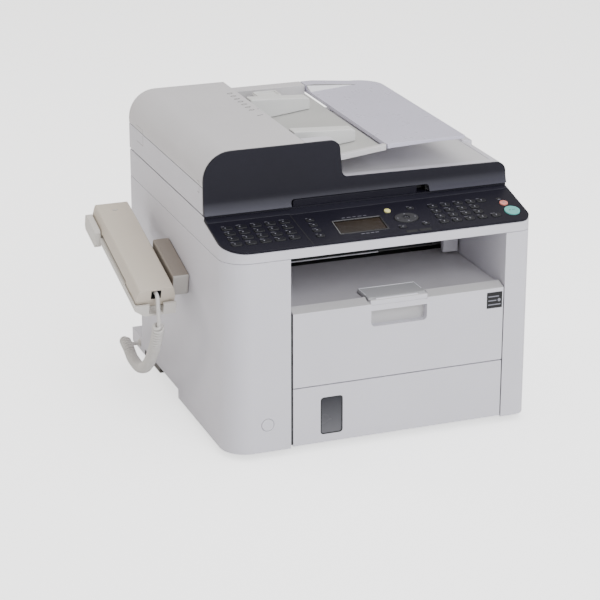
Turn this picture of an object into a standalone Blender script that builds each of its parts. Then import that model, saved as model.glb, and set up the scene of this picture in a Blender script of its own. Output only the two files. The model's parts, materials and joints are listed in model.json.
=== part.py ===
"""A desktop laser fax machine with a handset on its left side, as an assembly of separate parts.

Metres, +Z up. X runs to the right and Y to the back. The parts are laid out round a point on the desk under
the middle of the casing, and at the end all of them are moved so that the origin is on the desk under the
middle of the whole outline. The machine has four groups that move on one another: the base with its paper
path, the scanner unit hinged on it, the document lid hinged on the scanner, and the handset in its cradle.
"""

import math

import bmesh
import bpy
from mathutils import Matrix, Vector

# Casing
HALF_WIDTH = 0.195
FRONT = -0.193
BACK = 0.193
LOWER_BACK = 0.1587
WALL = 0.0025
GAP = 0.0003
CASE_BOTTOM = 0.008
RAISED_BOTTOM = 0.020
SEAM_Z = 0.247
BACK_STEP_Z = 0.185
LEFT_CORNER_RADIUS = 0.032
RIGHT_CORNER_RADIUS = 0.016
CORNER_STEPS = 9

# Opening between the two front pillars
BAY_LEFT = -0.1155
BAY_RIGHT = 0.160
DOOR_LEFT = -0.1128
DOOR_RIGHT = 0.1585
BAY_BACK = -0.0285
DOOR_BOTTOM = 0.0849
DOOR_DEPTH = 0.013
DOOR_TOP_FRONT = 0.1785
DOOR_TOP_BACK = 0.183
GRIP_LEFT = -0.014
GRIP_RIGHT = 0.058
POWER_KEY = (-0.145, 0.043)
POWER_KEY_RADIUS = 0.0076
POWER_KEY_PROUD = 0.0005
REAR_HOUSING_BACK = 0.214

# Scanner unit and its sloping control panel
SCANNER_TOP = 0.283
PANEL_FRONT_Z = 0.262
PANEL_BACK_Y = -0.113
PANEL_SLOPE = math.atan2(0.019, 0.080)
PANEL_LENGTH = 0.0815
PANEL_THICKNESS = 0.003
KEY_HEIGHT = 0.001
KEY_CLEARANCE = 0.00035
MAT_TOP = -0.0042
MAT_THICKNESS = 0.001
GLASS_BACK = 0.152

# Keys on the sloping panel: x, and the distance up the slope from its front edge
KEY_PITCH = 0.0120
ONE_TOUCH = [(-0.1750 + 0.0179 * column, 0.0195 + KEY_PITCH * row) for row in range(4) for column in range(5)]
ONE_TOUCH_SIZE = (0.013, 0.0075)
FUNCTION = [(-0.0725, 0.0170 + KEY_PITCH * row) for row in range(4)]
FUNCTION_SIZE = (0.010, 0.0060)
NUMBER = [(0.0850 + 0.0167 * column, 0.0160 + KEY_PITCH * row) for row in range(4) for column in range(4)]
NUMBER_EXTRA = [(0.1530, 0.0160), (0.1490, 0.0520)]
NUMBER_SIZE = (0.0115, 0.0075)
SMALL_KEYS = [(0.0562, 0.0534), (0.0311, 0.0150), (0.0616, 0.0165)]
SMALL_SIZE = (0.009, 0.0055)
NAVIGATION = (0.0430, 0.0333)
NAVIGATION_HALF = (0.0150, 0.0105)
OK_RADIUS = 0.0048
ENERGY = (0.0263, 0.0533)
ENERGY_RADIUS = 0.0040
STOP = (0.1738, 0.0404)
STOP_RADIUS = 0.0052
START = (0.1766, 0.0218)
START_RADIUS = 0.0096
LCD = ((-0.048, 0.013), (0.015, 0.044))

# Document lid
LID_BOTTOM = 0.285
LID_FRONT = -0.1093
FASCIA_FRONT = -0.113
HUMP_TOP = 0.360
HUMP_RADIUS = 0.035
HUMP_RIGHT = -0.024
OUTPUT_FLOOR = 0.3135
OUTPUT_FLOOR_RIGHT = 0.3105
ADF_RIGHT = -0.0665
ADF_SEAM = 0.3174
ADF_HINGE = Vector((-0.193, 0.0, 0.3204))
TRAY_LEFT = -0.095
TRAY_RIGHT = 0.039
TRAY_RIGHT_Z = 0.340
TRAY_SLOPE = 0.1165
TRAY_FRONT = -0.106
RIM_TOP_Z = 0.351
EXTENSION_RIGHT = 0.145
EXTENSION_HINGE = Vector((0.040, 0.0, 0.351))

# Handset, in a frame tilted down to the front
HANDSET_PLACE = Vector((-0.2415, 0.026, 0.211))
HANDSET_TILT = math.radians(14.9)
HANDSET_HALF_WIDTH = 0.0245
HANDSET_HALF_LENGTH = 0.099
CRADLE_EAR_REACH = 0.009
CORD_RADIUS = 0.0065

# Shafts, as (y, z) for those along X and (x, z) for those along Y
SHAFT_RADIUS = 0.003
RUNNING_FIT = 0.00008
PICKUP_AXIS = (-0.150, 0.078)
EXIT_AXIS = (-0.014, 0.197)
DRUM_AXIS = (-0.062, 0.1035)
FIXING_AXIS = (0.1175, 0.140)
PRESSURE_AXIS = (0.1375, 0.1295)
FEED_AXIS = (-0.122, 0.337)
ADF_PICKUP_AXIS = (-0.084, 0.3395)
SCANNER_ROD_AXIS = (0.040, 0.262)

# Drive train
GEAR_MODULE = 0.001
DRIVE_TEETH = 60
PINION_TEETH = 12
DRIVE_AXIS = (0.060, 0.100)
PINION_AXIS = (DRIVE_AXIS[0] + GEAR_MODULE * (DRIVE_TEETH + PINION_TEETH) / 2, DRIVE_AXIS[1])
GEAR_REACH = (0.168, 0.177)

CASING = ((0.60, 0.60, 0.63), 0.45, 0.0)
WARM_CASING = ((0.57, 0.56, 0.56), 0.45, 0.0)
CHARCOAL = ((0.030, 0.029, 0.040), 0.38, 0.0)
KEY_BLACK = ((0.020, 0.020, 0.026), 0.35, 0.0)
BEIGE = ((0.50, 0.46, 0.40), 0.42, 0.0)
WHITE_PLASTIC = ((0.66, 0.65, 0.64), 0.42, 0.0)
LILAC = ((0.58, 0.57, 0.64), 0.25, 0.0)
BLACK_PLASTIC = ((0.02, 0.02, 0.02), 0.5, 0.0)
RUBBER = ((0.04, 0.04, 0.04), 0.85, 0.0)
STEEL = ((0.55, 0.55, 0.56), 0.3, 1.0)
BOARD_GREEN = ((0.03, 0.16, 0.07), 0.5, 0.0)
GEAR_WHITE = ((0.75, 0.74, 0.70), 0.5, 0.0)
GLASS = ((0.35, 0.42, 0.40), 0.05, 0.0)
SMOKED = ((0.06, 0.06, 0.075), 0.15, 0.0)
AMBER = ((0.12, 0.075, 0.035), 0.2, 0.0)
DRUM_BLUE = ((0.05, 0.25, 0.35), 0.2, 0.3)
YELLOW = ((0.72, 0.68, 0.22), 0.35, 0.0)
RED = ((0.75, 0.26, 0.20), 0.35, 0.0)
TEAL = ((0.10, 0.52, 0.48), 0.35, 0.0)


# ---------------------------------------------------------------- tools

def material_for(name, finish):
    """A Principled material of this sub-part's own."""
    colour, roughness, metallic = finish
    look = bpy.data.materials.new(name + "_finish")
    look.use_nodes = True
    surface = look.node_tree.nodes["Principled BSDF"]
    surface.inputs["Base Color"].default_value = (*colour, 1.0)
    surface.inputs["Roughness"].default_value = roughness
    surface.inputs["Metallic"].default_value = metallic
    return look


def empty(name, place, rotation=(0.0, 0.0, 0.0)):
    """A pivot or a tilted frame that parts hang on."""
    pivot = bpy.data.objects.new(name, None)
    pivot.location = place
    pivot.rotation_euler = rotation
    bpy.context.scene.collection.objects.link(pivot)
    return pivot


def into_object(name, bm, finish=None, frame=None, origin=(0.0, 0.0, 0.0)):
    """Turns a bmesh into an object. Without a finish it is a guide for a Boolean, not part of the model."""
    bmesh.ops.recalc_face_normals(bm, faces=bm.faces)
    bmesh.ops.translate(bm, verts=bm.verts, vec=-Vector(origin))
    mesh = bpy.data.meshes.new(name)
    bm.to_mesh(mesh)
    bm.free()
    solid = bpy.data.objects.new(name, mesh)
    solid.location = origin
    solid.parent = frame
    bpy.context.scene.collection.objects.link(solid)
    if finish is None:
        solid.hide_render = True
        solid.display_type = "WIRE"
    else:
        mesh.materials.append(material_for(name, finish))
        mesh.shade_smooth()
        mesh.set_sharp_from_angle(angle=math.radians(30))
    return solid


def hang(solid, pivot):
    """Parents a part to an empty and leaves it where it is."""
    solid.parent = pivot
    solid.matrix_parent_inverse = Matrix.Translation(-pivot.location)


def on_axis(axis, u, v, along):
    """The point whose two outline coordinates are u and v, at a distance along the axis."""
    if axis == "X":
        return (along, u, v)
    if axis == "Y":
        return (u, along, v)
    return (u, v, along)


def extruded(bm, outline, axis, low, high):
    """Adds a closed outline, extruded from low to high along the axis, to a bmesh."""
    bottom = [bm.verts.new(on_axis(axis, u, v, low)) for u, v in outline]
    face = bm.faces.new(bottom)
    grown = bmesh.ops.extrude_face_region(bm, geom=[face])
    top = [item for item in grown["geom"] if isinstance(item, bmesh.types.BMVert)]
    reach = Vector(on_axis(axis, 0.0, 0.0, high - low))
    bmesh.ops.translate(bm, verts=top, vec=reach)


def prism(name, outline, axis, low, high, finish=None, **place):
    bm = bmesh.new()
    extruded(bm, outline, axis, low, high)
    return into_object(name, bm, finish, **place)


def rectangle(low_u, high_u, low_v, high_v):
    return [(low_u, low_v), (high_u, low_v), (high_u, high_v), (low_u, high_v)]


def block(name, x, y, z, finish=None, **place):
    """A box from three (low, high) pairs."""
    return prism(name, rectangle(*x, *y), "Z", *z, finish, **place)


def circle(u, v, radius, sides=24):
    turn = 2 * math.pi / sides
    return [(u + radius * math.cos(i * turn), v + radius * math.sin(i * turn)) for i in range(sides)]


def rounded(corners, steps=CORNER_STEPS):
    """An outline from (u, v, radius) corners, where each radius above zero becomes an arc."""
    outline = []
    count = len(corners)
    for index, (u, v, radius) in enumerate(corners):
        here = Vector((u, v))
        if radius == 0:
            outline.append((u, v))
            continue
        before = (Vector(corners[index - 1][:2]) - here).normalized()
        after = (Vector(corners[(index + 1) % count][:2]) - here).normalized()
        half_angle = before.angle(after) / 2
        centre = here + (before + after).normalized() * (radius / math.sin(half_angle))
        start = here + before * (radius / math.tan(half_angle)) - centre
        sweep = math.pi - 2 * half_angle
        turn = sweep if before.cross(after) < 0 else -sweep
        for step in range(steps + 1):
            angle = turn * step / steps
            cosine, sine = math.cos(angle), math.sin(angle)
            point = centre + Vector((start.x * cosine - start.y * sine, start.x * sine + start.y * cosine))
            outline.append((point.x, point.y))
    return outline


def pieces(name, outlines, axis, low, high, frame=None):
    """Several extruded outlines in one guide, such as the keys of a bank."""
    bm = bmesh.new()
    for outline in outlines:
        extruded(bm, outline, axis, low, high)
    return into_object(name, bm, frame=frame)


def combine(solid, operation, guides):
    for guide in guides:
        modifier = solid.modifiers.new(operation.lower(), "BOOLEAN")
        modifier.operation = operation
        modifier.solver = "EXACT"
        modifier.object = guide


def cut(solid, *guides):
    combine(solid, "DIFFERENCE", guides)


def join(solid, *guides):
    combine(solid, "UNION", guides)


def roller(name, axis, centre, radius, reach, shaft_reach, finish, pivot=None, shaft=SHAFT_RADIUS):
    """A cylinder on a thinner shaft, along X or Y, with its origin on the axis. Reaches are (low, high)."""
    u, v = centre
    origin = on_axis(axis, u, v, 0.0)
    solid = prism(name, circle(u, v, radius), axis, *reach, finish, origin=origin)
    join(solid, prism(name + "_shaft", circle(u, v, shaft), axis, *shaft_reach))
    if pivot:
        hang(solid, pivot)
    return solid


def remove_everything():
    for old in list(bpy.data.objects):
        bpy.data.objects.remove(old, do_unlink=True)


# ---------------------------------------------------------------- base

def base_frame():
    """Floor, two inner side walls, shelves for the feet, and the low housing that sticks out at the back."""
    wall_bottom = CASE_BOTTOM + GAP
    shelf_low = RAISED_BOTTOM + GAP
    shelf_high = shelf_low + WALL
    inner_left = BAY_LEFT - WALL - GAP
    inner_right = BAY_RIGHT + WALL + GAP
    outer_left = inner_left - WALL
    outer_right = inner_right + WALL
    side = HALF_WIDTH - WALL - GAP
    wall_top = 0.240
    outline = [
        (outer_left, wall_top), (outer_left, shelf_high), (-side, shelf_high), (-side, shelf_low),
        (outer_left, shelf_low), (outer_left, wall_bottom), (outer_right, wall_bottom),
        (outer_right, shelf_low), (side, shelf_low), (side, shelf_high), (outer_right, shelf_high),
        (outer_right, wall_top), (inner_right, wall_top), (inner_right, wall_bottom + WALL),
        (inner_left, wall_bottom + WALL), (inner_left, wall_top),
    ]
    frame_back = 0.1557
    housing_top = 0.028
    frame = prism("base_frame", outline, "Y", -0.178, frame_back, BLACK_PLASTIC)
    join(frame, block("rear_housing", (-side, side), (frame_back - 0.001, REAR_HOUSING_BACK),
                      (wall_bottom, housing_top)))
    cut(frame, block("rear_housing_hollow", (-side + WALL, side - WALL),
                     (frame_back + 0.001, REAR_HOUSING_BACK - WALL),
                     (wall_bottom + WALL, housing_top - WALL)))
    mouth = (frame_back - 0.004, frame_back + 0.004)
    cut(frame, block("rear_housing_mouth", (inner_left, inner_right), mouth,
                     (wall_bottom + WALL, housing_top - WALL)))
    for sign in (-1, 1):
        corner = sorted((sign * 0.160, sign * 0.210))
        cut(frame, block("shelf_corner", corner, (-0.20, -0.158), (0.0, 0.05)))
    stud_end = 0.180
    join(frame, prism("gear_stud", circle(*DRIVE_AXIS, 0.004), "X", outer_right - 0.001, stud_end))
    shaft_holes = [circle(*place, SHAFT_RADIUS + RUNNING_FIT) for place in (PICKUP_AXIS, EXIT_AXIS)]
    cut(frame, pieces("shaft_holes", shaft_holes, "X", outer_left - 0.01, outer_right + 0.01))
    cut(frame, prism("pinion_hole", circle(*PINION_AXIS, 0.004), "X", inner_right - 0.01, outer_right + 0.01))
    return frame


def side_cover(name, sign, bay_edge):
    """A side wall that turns the front corner into a pillar and lines the bay. Sign is -1 on the left."""
    outer = sign * HALF_WIDTH
    inner = outer - sign * WALL
    radius = LEFT_CORNER_RADIUS if sign < 0 else RIGHT_CORNER_RADIUS
    flange = bay_edge + sign * WALL
    steps = CORNER_STEPS
    outline = rounded([
        (outer, BACK, 0), (outer, FRONT, radius), (bay_edge, FRONT, 0), (bay_edge, BAY_BACK, 0),
        (flange, BAY_BACK, 0), (flange, FRONT + WALL, 0), (inner, FRONT + WALL, radius - WALL),
        (inner, BACK, 0),
    ], steps)
    cover = prism(name, outline, "Z", CASE_BOTTOM, SEAM_Z, CASING)
    beyond = sorted((sign * 0.150, sign * 0.210))
    cut(cover, block(name + "_back_step", beyond, (LOWER_BACK, BACK + 0.01), (0.0, BACK_STEP_Z)))
    cut(cover, block(name + "_raised_edge", beyond, (0.003, BACK + 0.01), (0.0, RAISED_BOTTOM)))
    around_flange = sorted((bay_edge - sign * 0.005, flange + sign * 0.001))
    floor_top = CASE_BOTTOM + WALL + 2 * GAP
    cut(cover, block(name + "_floor_room", around_flange, (-0.1785, 0.0), (0.0, floor_top)))
    shaft_hole = circle(*PICKUP_AXIS, SHAFT_RADIUS + 0.001)
    cut(cover, prism(name + "_shaft_hole", shaft_hole, "X", *around_flange))
    return cover


def left_cover():
    cover = side_cover("left_side_cover", -1, BAY_LEFT)
    cut(cover, prism("power_key_hole", circle(*POWER_KEY, POWER_KEY_RADIUS + 0.0004), "Y", -0.20, -0.18))
    return cover


def power_button():
    """A round key in the left pillar, held in by a flange behind the wall."""
    face = FRONT - POWER_KEY_PROUD
    flange_front = FRONT + WALL + GAP
    centre = (POWER_KEY[0], face, POWER_KEY[1])
    button = prism("power_button", circle(*POWER_KEY, POWER_KEY_RADIUS), "Y", face, flange_front + 0.002,
                   CASING, origin=centre)
    join(button, prism("power_flange", circle(*POWER_KEY, POWER_KEY_RADIUS + 0.002), "Y",
                       flange_front, flange_front + 0.0015))


def rear_panels():
    """The stepped back wall, and the hinged cover over the paper path in its lower half."""
    side = HALF_WIDTH - WALL - GAP
    low, high = 0.0286, SEAM_Z - GAP
    step = BACK_STEP_Z
    outline = [
        (LOWER_BACK - WALL, low), (LOWER_BACK, low), (LOWER_BACK, step), (BACK, step), (BACK, high),
        (BACK - WALL, high), (BACK - WALL, step + WALL), (LOWER_BACK - WALL, step + WALL),
    ]
    panel = prism("rear_panel", outline, "X", -side, side, CASING)
    left, right, bottom, top = -0.110, 0.150, 0.070, 0.175
    cut(panel, block("rear_opening", (left, right), (0.150, 0.165), (bottom, top)))
    vents = [rectangle(0.165, 0.183, 0.060 + 0.008 * i, 0.064 + 0.008 * i) for i in range(8)]
    cut(panel, pieces("rear_vents", vents, "Y", 0.150, 0.165))
    gap = 0.0008
    hinge = empty("rear_cover_hinge", (0.0, LOWER_BACK - WALL / 2, bottom + 0.002))
    cover = block("rear_cover", (left + gap, right - gap), (LOWER_BACK - WALL, LOWER_BACK),
                  (bottom + gap, top - gap), CASING, origin=hinge.location)
    hang(cover, hinge)


def upper_deck():
    """The sheet over the two side compartments, with the bay's back wall and the slot that sheets leave by."""
    side = HALF_WIDTH - WALL - GAP
    low, high = 0.2403, 0.2447
    deck = block("upper_deck", (-side, side), (FRONT + 0.036, BACK - WALL - GAP), (low, high), BLACK_PLASTIC)
    cut(deck, block("deck_bay", (BAY_LEFT - WALL - GAP, BAY_RIGHT + WALL + GAP), (-0.25, BAY_BACK + GAP),
                    (low - 0.01, high + 0.01)))
    wall = (BAY_BACK + 2 * GAP, BAY_BACK + 0.003)
    wall_low = 0.1818
    join(deck, block("bay_back_wall", (BAY_LEFT, BAY_RIGHT), wall, (wall_low, low + 0.002)))
    cut(deck, block("exit_slot", (BAY_LEFT + 0.008, BAY_RIGHT - 0.024), (wall[0] - 0.01, wall[1] + 0.01),
                    (0.203, 0.208)))
    return deck


def feet():
    """Four tall rubber feet under the shelves of the frame."""
    width, depth = 0.020, 0.030
    top = RAISED_BOTTOM
    corners = {
        "foot_front_left": (-0.187, -0.150), "foot_front_right": (0.167, -0.150),
        "foot_rear_left": (-0.187, 0.108), "foot_rear_right": (0.167, 0.108),
    }
    for name, (x, y) in corners.items():
        block(name, (x, x + width), (y, y + depth), (0.0, top), RUBBER, origin=(x, y, 0.0))


# ---------------------------------------------------------------- front

def paper_cassette():
    """The drawer with its front, the smoked window in it, and the spring plate that lifts the paper."""
    front_low, front_high = 0.010, 0.0834
    floor = 0.0143
    tray_sides = (-0.111, 0.1565)
    tray_back, tray_top = 0.150, 0.060
    cassette = block("paper_cassette", (DOOR_LEFT, DOOR_RIGHT), (FRONT, FRONT + 0.012),
                     (front_low, front_high), CASING)
    join(cassette, block("cassette_tray", tray_sides, (FRONT + 0.008, tray_back), (floor, tray_top)))
    cut(cassette, block("cassette_hollow", (tray_sides[0] + WALL, tray_sides[1] - WALL),
                        (FRONT + 0.012, tray_back - WALL), (floor + 0.002, tray_top + 0.01)))
    window = ((-0.078, -0.0495), (0.020, 0.068))
    outline = rounded([(u, v, 0.004) for u, v in rectangle(*window[0], *window[1])], 4)
    cut(cassette, prism("window_hole", outline, "Y", FRONT - 0.01, FRONT + 0.020))
    inset = 0.0004
    pane = rounded([(u, v, 0.0038) for u, v in rectangle(window[0][0] + inset, window[0][1] - inset,
                                                         window[1][0] + inset, window[1][1] - inset)], 4)
    prism("cassette_window", pane, "Y", FRONT + 0.001, FRONT + 0.003, SMOKED)
    lift_low = 0.0168
    hinge = empty("lift_plate_hinge", (0.0, 0.118, lift_low + 0.001))
    plate = block("cassette_lift_plate", (-0.107, 0.1525), (-0.165, 0.120), (lift_low, lift_low + 0.0015),
                  STEEL, origin=hinge.location)
    hang(plate, hinge)


def front_door():
    """Hollow door with a sloping top edge and a pocket under a grip bar in the middle."""
    back = FRONT + DOOR_DEPTH
    hinge = empty("front_door_hinge", (0.0, FRONT + 0.003, DOOR_BOTTOM + 0.003))
    outline = [(FRONT, DOOR_BOTTOM), (back, DOOR_BOTTOM), (back, DOOR_TOP_BACK), (FRONT, DOOR_TOP_FRONT)]
    door = prism("front_door", outline, "X", DOOR_LEFT, DOOR_RIGHT, CASING, origin=hinge.location)
    hang(door, hinge)
    hollow_top = 0.174
    cut(door, block("door_hollow", (DOOR_LEFT + WALL, DOOR_RIGHT - WALL), (FRONT + WALL, back + 0.01),
                    (DOOR_BOTTOM + 0.004, hollow_top)))
    pocket_bottom = 0.150
    pocket = (GRIP_LEFT, GRIP_RIGHT)
    join(door, block("grip_pocket_shell", (pocket[0] - WALL, pocket[1] + WALL), (FRONT + 0.001, back),
                     (pocket_bottom - WALL, hollow_top + 0.001)))
    outline = rounded([(pocket[0], 0.195, 0), (pocket[0], pocket_bottom, 0.005),
                       (pocket[1], pocket_bottom, 0.005), (pocket[1], 0.195, 0)], 4)
    cut(door, prism("grip_pocket", outline, "Y", FRONT - 0.01, back - WALL))
    cut(door, block("stopper_notch", (pocket[0] - 0.003, pocket[1] + 0.003), (FRONT + 0.0056, back + 0.01),
                    (0.1755, 0.190)))
    join(door, block("grip_bar", (pocket[0] - 0.001, pocket[1] + 0.001), (FRONT, FRONT + 0.0050),
                     (0.170, 0.1768)))


def toner_cover():
    """Floor of the output bay, hinged at its back, with the flip-up paper stopper in its front edge."""
    left, right = BAY_LEFT + 0.0008, BAY_RIGHT - 0.0008
    front, back = FRONT + DOOR_DEPTH + 0.0005, -0.035
    low, high = 0.1755, 0.1795
    hinge = empty("toner_cover_hinge", (0.0, back, low))
    cover = block("toner_cover", (left, right), (front, back), (low, high), CASING, origin=hinge.location)
    hang(cover, hinge)
    join(cover, block("front_lip", (left, right), (front, front + 0.003), (low + 0.001, DOOR_TOP_BACK)))
    notch_back = -0.1495
    cut(cover, block("stopper_recess", (GRIP_LEFT - 0.002, GRIP_RIGHT + 0.002), (front - 0.01, notch_back),
                     (low + 0.0015, 0.19)))
    plate_low, plate_high, nose = 0.1775, 0.184, 0.003
    pivot = empty("paper_stopper_hinge", (0.0, FRONT + 0.0065 + nose, plate_low + nose))
    outline = rounded([(FRONT + 0.0065, plate_low, nose), (notch_back - 0.001, plate_low, 0),
                       (notch_back - 0.001, plate_high, 0), (FRONT + 0.0065, plate_high, nose)], 4)
    stopper = prism("paper_stopper", outline, "X", GRIP_LEFT - 0.001, GRIP_RIGHT + 0.001, CASING,
                    origin=pivot.location)
    cut(stopper, block("stopper_underside", (GRIP_LEFT + 0.002, GRIP_RIGHT - 0.002),
                       (FRONT + 0.014, notch_back - 0.004), (plate_low - 0.001, plate_high - 0.003)))
    hang(stopper, pivot)


# ---------------------------------------------------------------- print engine

def laser_unit():
    """The box behind the toner that writes on the drum through a slot in its front."""
    unit = block("laser_unit", (-0.080, 0.120), (-0.024, 0.074), (0.120, 0.168), BLACK_PLASTIC)
    join(unit, block("laser_unit_rim", (-0.083, 0.123), (-0.026, 0.077), (0.160, 0.164)))
    cut(unit, block("laser_window", (-0.070, 0.110), (-0.030, -0.020), (0.134, 0.142)))


def toner_cartridge():
    """A wedge-shaped toner hopper with the drum in a channel along its lower back edge."""
    left, right = -0.104, 0.144
    drum_radius = 0.012
    outline = [(-0.150, 0.116), (-0.120, 0.097), (-0.046, 0.097), (-0.044, 0.150), (-0.060, 0.168),
               (-0.150, 0.168)]
    hopper = prism("toner_cartridge", outline, "X", left, right, BLACK_PLASTIC)
    end_wall = 0.006
    channel = circle(*DRUM_AXIS, drum_radius + 0.0007)
    cut(hopper, prism("drum_channel", channel, "X", left + end_wall, right - end_wall))
    shaft = 0.004
    cut(hopper, prism("drum_bore", circle(*DRUM_AXIS, shaft + RUNNING_FIT), "X", left - 0.01, right + 0.01))
    roller("drum", "X", DRUM_AXIS, drum_radius, (left + end_wall + GAP, right - end_wall - GAP),
           (left + 0.001, right - 0.001), DRUM_BLUE, shaft=shaft)


def fuser():
    """A trough that holds the hot steel roller and the rubber one it presses against."""
    left, right = -0.100, 0.140
    front, back = 0.102, 0.153
    wall = 0.003
    case = block("fuser_housing", (left, right), (front, back), (0.112, 0.156), BLACK_PLASTIC)
    cut(case, block("fuser_hollow", (left + wall, right - wall), (front + wall, back - wall), (0.115, 0.170)))
    cut(case, block("fuser_entry", (left + 0.010, right - 0.010), (front - 0.007, front + 0.008),
                    (0.120, 0.127)))
    shaft = 0.004
    rollers = (("fixing_roller", FIXING_AXIS, STEEL), ("pressure_roller", PRESSURE_AXIS, RUBBER))
    for name, place, finish in rollers:
        bore = circle(*place, shaft + RUNNING_FIT)
        cut(case, prism(name + "_bore", bore, "X", left - 0.01, right + 0.01))
        roller(name, "X", place, 0.011, (left + wall + 0.002, right - wall - 0.002),
               (left - 0.004, right + 0.004), finish, shaft=shaft)


def paper_rollers():
    """The roller that draws sheets from the cassette, and the one that delivers them into the bay."""
    shaft_reach = (BAY_LEFT - 0.006, BAY_RIGHT + 0.006)
    roller("pickup_roller", "X", PICKUP_AXIS, 0.012, (0.0, 0.045), shaft_reach, RUBBER)
    roller("exit_roller", "X", EXIT_AXIS, 0.008, (-0.095, 0.130), shaft_reach, RUBBER)


def gear_outline(centre, teeth, tooth_facing):
    """Straight-sided teeth, with one tooth facing the given angle. Half of each pitch or less is tooth."""
    u, v = centre
    pitch_radius = GEAR_MODULE * teeth / 2
    root, tip = pitch_radius - 1.25 * GEAR_MODULE, pitch_radius + 0.8 * GEAR_MODULE
    pitch = 2 * math.pi / teeth
    outline = []
    for tooth in range(teeth):
        middle = tooth_facing + tooth * pitch
        for share, radius in ((-0.29, root), (-0.11, tip), (0.11, tip), (0.29, root)):
            angle = middle + share * pitch
            outline.append((u + radius * math.cos(angle), v + radius * math.sin(angle)))
    return outline


def drive():
    """Motor on the inside of the right wall, its pinion and the main gear on the outside."""
    main = prism("drive_gear", gear_outline(DRIVE_AXIS, DRIVE_TEETH, 0.0), "X", *GEAR_REACH, GEAR_WHITE,
                 origin=(0.0, *DRIVE_AXIS))
    cut(main, prism("gear_bore", circle(*DRIVE_AXIS, 0.004 + RUNNING_FIT), "X", 0.160, 0.190))
    half_pitch = math.pi / PINION_TEETH
    pinion = prism("motor_pinion", gear_outline(PINION_AXIS, PINION_TEETH, half_pitch), "X", *GEAR_REACH,
                   STEEL, origin=(0.0, *PINION_AXIS))
    shaft = 0.002
    join(pinion, prism("pinion_shaft", circle(*PINION_AXIS, shaft), "X", 0.150, GEAR_REACH[0] + 0.002))
    motor = prism("drive_motor", circle(*PINION_AXIS, 0.017), "X", 0.142, 0.1622, STEEL)
    cut(motor, prism("motor_bore", circle(*PINION_AXIS, shaft + RUNNING_FIT), "X", 0.149, 0.170))


def electronics():
    """The main board with its larger parts, and the power supply under it."""
    board_x = -0.1235
    board = block("main_board", (board_x - 0.0016, board_x), (-0.060, 0.120), (0.100, 0.225), BOARD_GREEN)
    chips = ((-0.020, 0.160, 0.030, 0.004), (0.040, 0.180, 0.022, 0.003),
             (0.080, 0.130, 0.016, 0.012), (0.000, 0.120, 0.018, 0.008))
    for index, (y, z, size, height) in enumerate(chips):
        reach = (board_x - 0.001 - height, board_x - 0.001)
        join(board, block(f"chip_{index}", reach, (y, y + size), (z, z + size)))
    supply = block("power_supply", (-0.185, -0.135), (0.010, 0.130), (0.032, 0.086), STEEL)
    slots = [rectangle(0.025 + 0.012 * i, 0.029 + 0.012 * i, 0.040, 0.078) for i in range(8)]
    cut(supply, pieces("supply_vents", slots, "X", -0.190, -0.181))


# ---------------------------------------------------------------- scanner unit

def plan(inset, front, back):
    """Top view of the scanner: a rectangle whose two front corners are rounded, the left one more."""
    side = HALF_WIDTH - inset
    return rounded([(side, back, 0), (-side, back, 0), (-side, front, LEFT_CORNER_RADIUS - inset),
                    (side, front, RIGHT_CORNER_RADIUS - inset)])


def scanner_unit(pivot, slope_frame):
    """The housing under the panel and the glass, with the carriage that reads a page on its rod."""
    housing = prism("scanner_housing", plan(0.0, FRONT, BACK), "Z",
                    SEAM_Z + GAP, SCANNER_TOP, CASING, origin=pivot.location)
    hang(housing, pivot)
    below = -PANEL_THICKNESS - GAP
    cut(housing, block("panel_seat", (-0.25, 0.25), (-0.03, PANEL_LENGTH + GAP), (below, 0.08),
                       frame=slope_frame))
    floor = SEAM_Z + GAP + WALL
    under_panel = plan(WALL, FRONT + WALL, PANEL_BACK_Y - WALL)
    cut(housing, prism("panel_hollow", under_panel, "Z", floor, 0.30))
    inner = HALF_WIDTH - WALL
    inner_front = PANEL_BACK_Y + WALL
    cut(housing, block("scan_hollow", (-inner, inner), (inner_front, BACK - WALL), (floor, 0.30)))
    join(housing, block("lock_arm", (0.137, 0.157), (-0.062, -0.054), (0.1827, floor - 0.001)))

    frame_low, frame_high = 0.2805, SCANNER_TOP - 0.0001
    cover = block("platen_frame", (-inner + GAP, inner - GAP), (inner_front + GAP, BACK - WALL - GAP),
                  (frame_low, frame_high), CHARCOAL)
    hang(cover, pivot)
    cut(cover, block("platen_window", (-0.125, 0.178), (-0.062, GLASS_BACK), (0.27, 0.29)))
    cut(cover, block("feeder_window", (-0.174, -0.154), (-0.062, GLASS_BACK), (0.27, 0.29)))
    glass = block("platen_glass", (-0.180, 0.184), (-0.068, GLASS_BACK + 0.006),
                  (0.2775, frame_low - GAP), GLASS)
    hang(glass, pivot)

    rod_reach = inner - GAP
    rod = prism("carriage_rod", circle(*SCANNER_ROD_AXIS, SHAFT_RADIUS), "X", -rod_reach, rod_reach, STEEL)
    hang(rod, pivot)
    carriage = block("scan_carriage", (-0.176, -0.152), (-0.095, 0.180), (0.2535, 0.2755), BLACK_PLASTIC,
                     origin=(-0.164, *SCANNER_ROD_AXIS))
    bore = circle(*SCANNER_ROD_AXIS, SHAFT_RADIUS + RUNNING_FIT)
    cut(carriage, prism("carriage_bore", bore, "X", -0.20, -0.13))
    cut(carriage, block("carriage_slot", (-0.167, -0.161), (-0.060, 0.150), (0.270, 0.280)))
    hang(carriage, pivot)


def key_outline(centre, size):
    u, v = centre
    half_u, half_v = size[0] / 2, size[1] / 2
    return rectangle(u - half_u, u + half_u, v - half_v, v + half_v)


def oval(centre, half_u, half_v, sides=24):
    return [(centre[0] + u * half_u, centre[1] + v * half_v) for u, v in circle(0.0, 0.0, 1.0, sides)]


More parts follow.
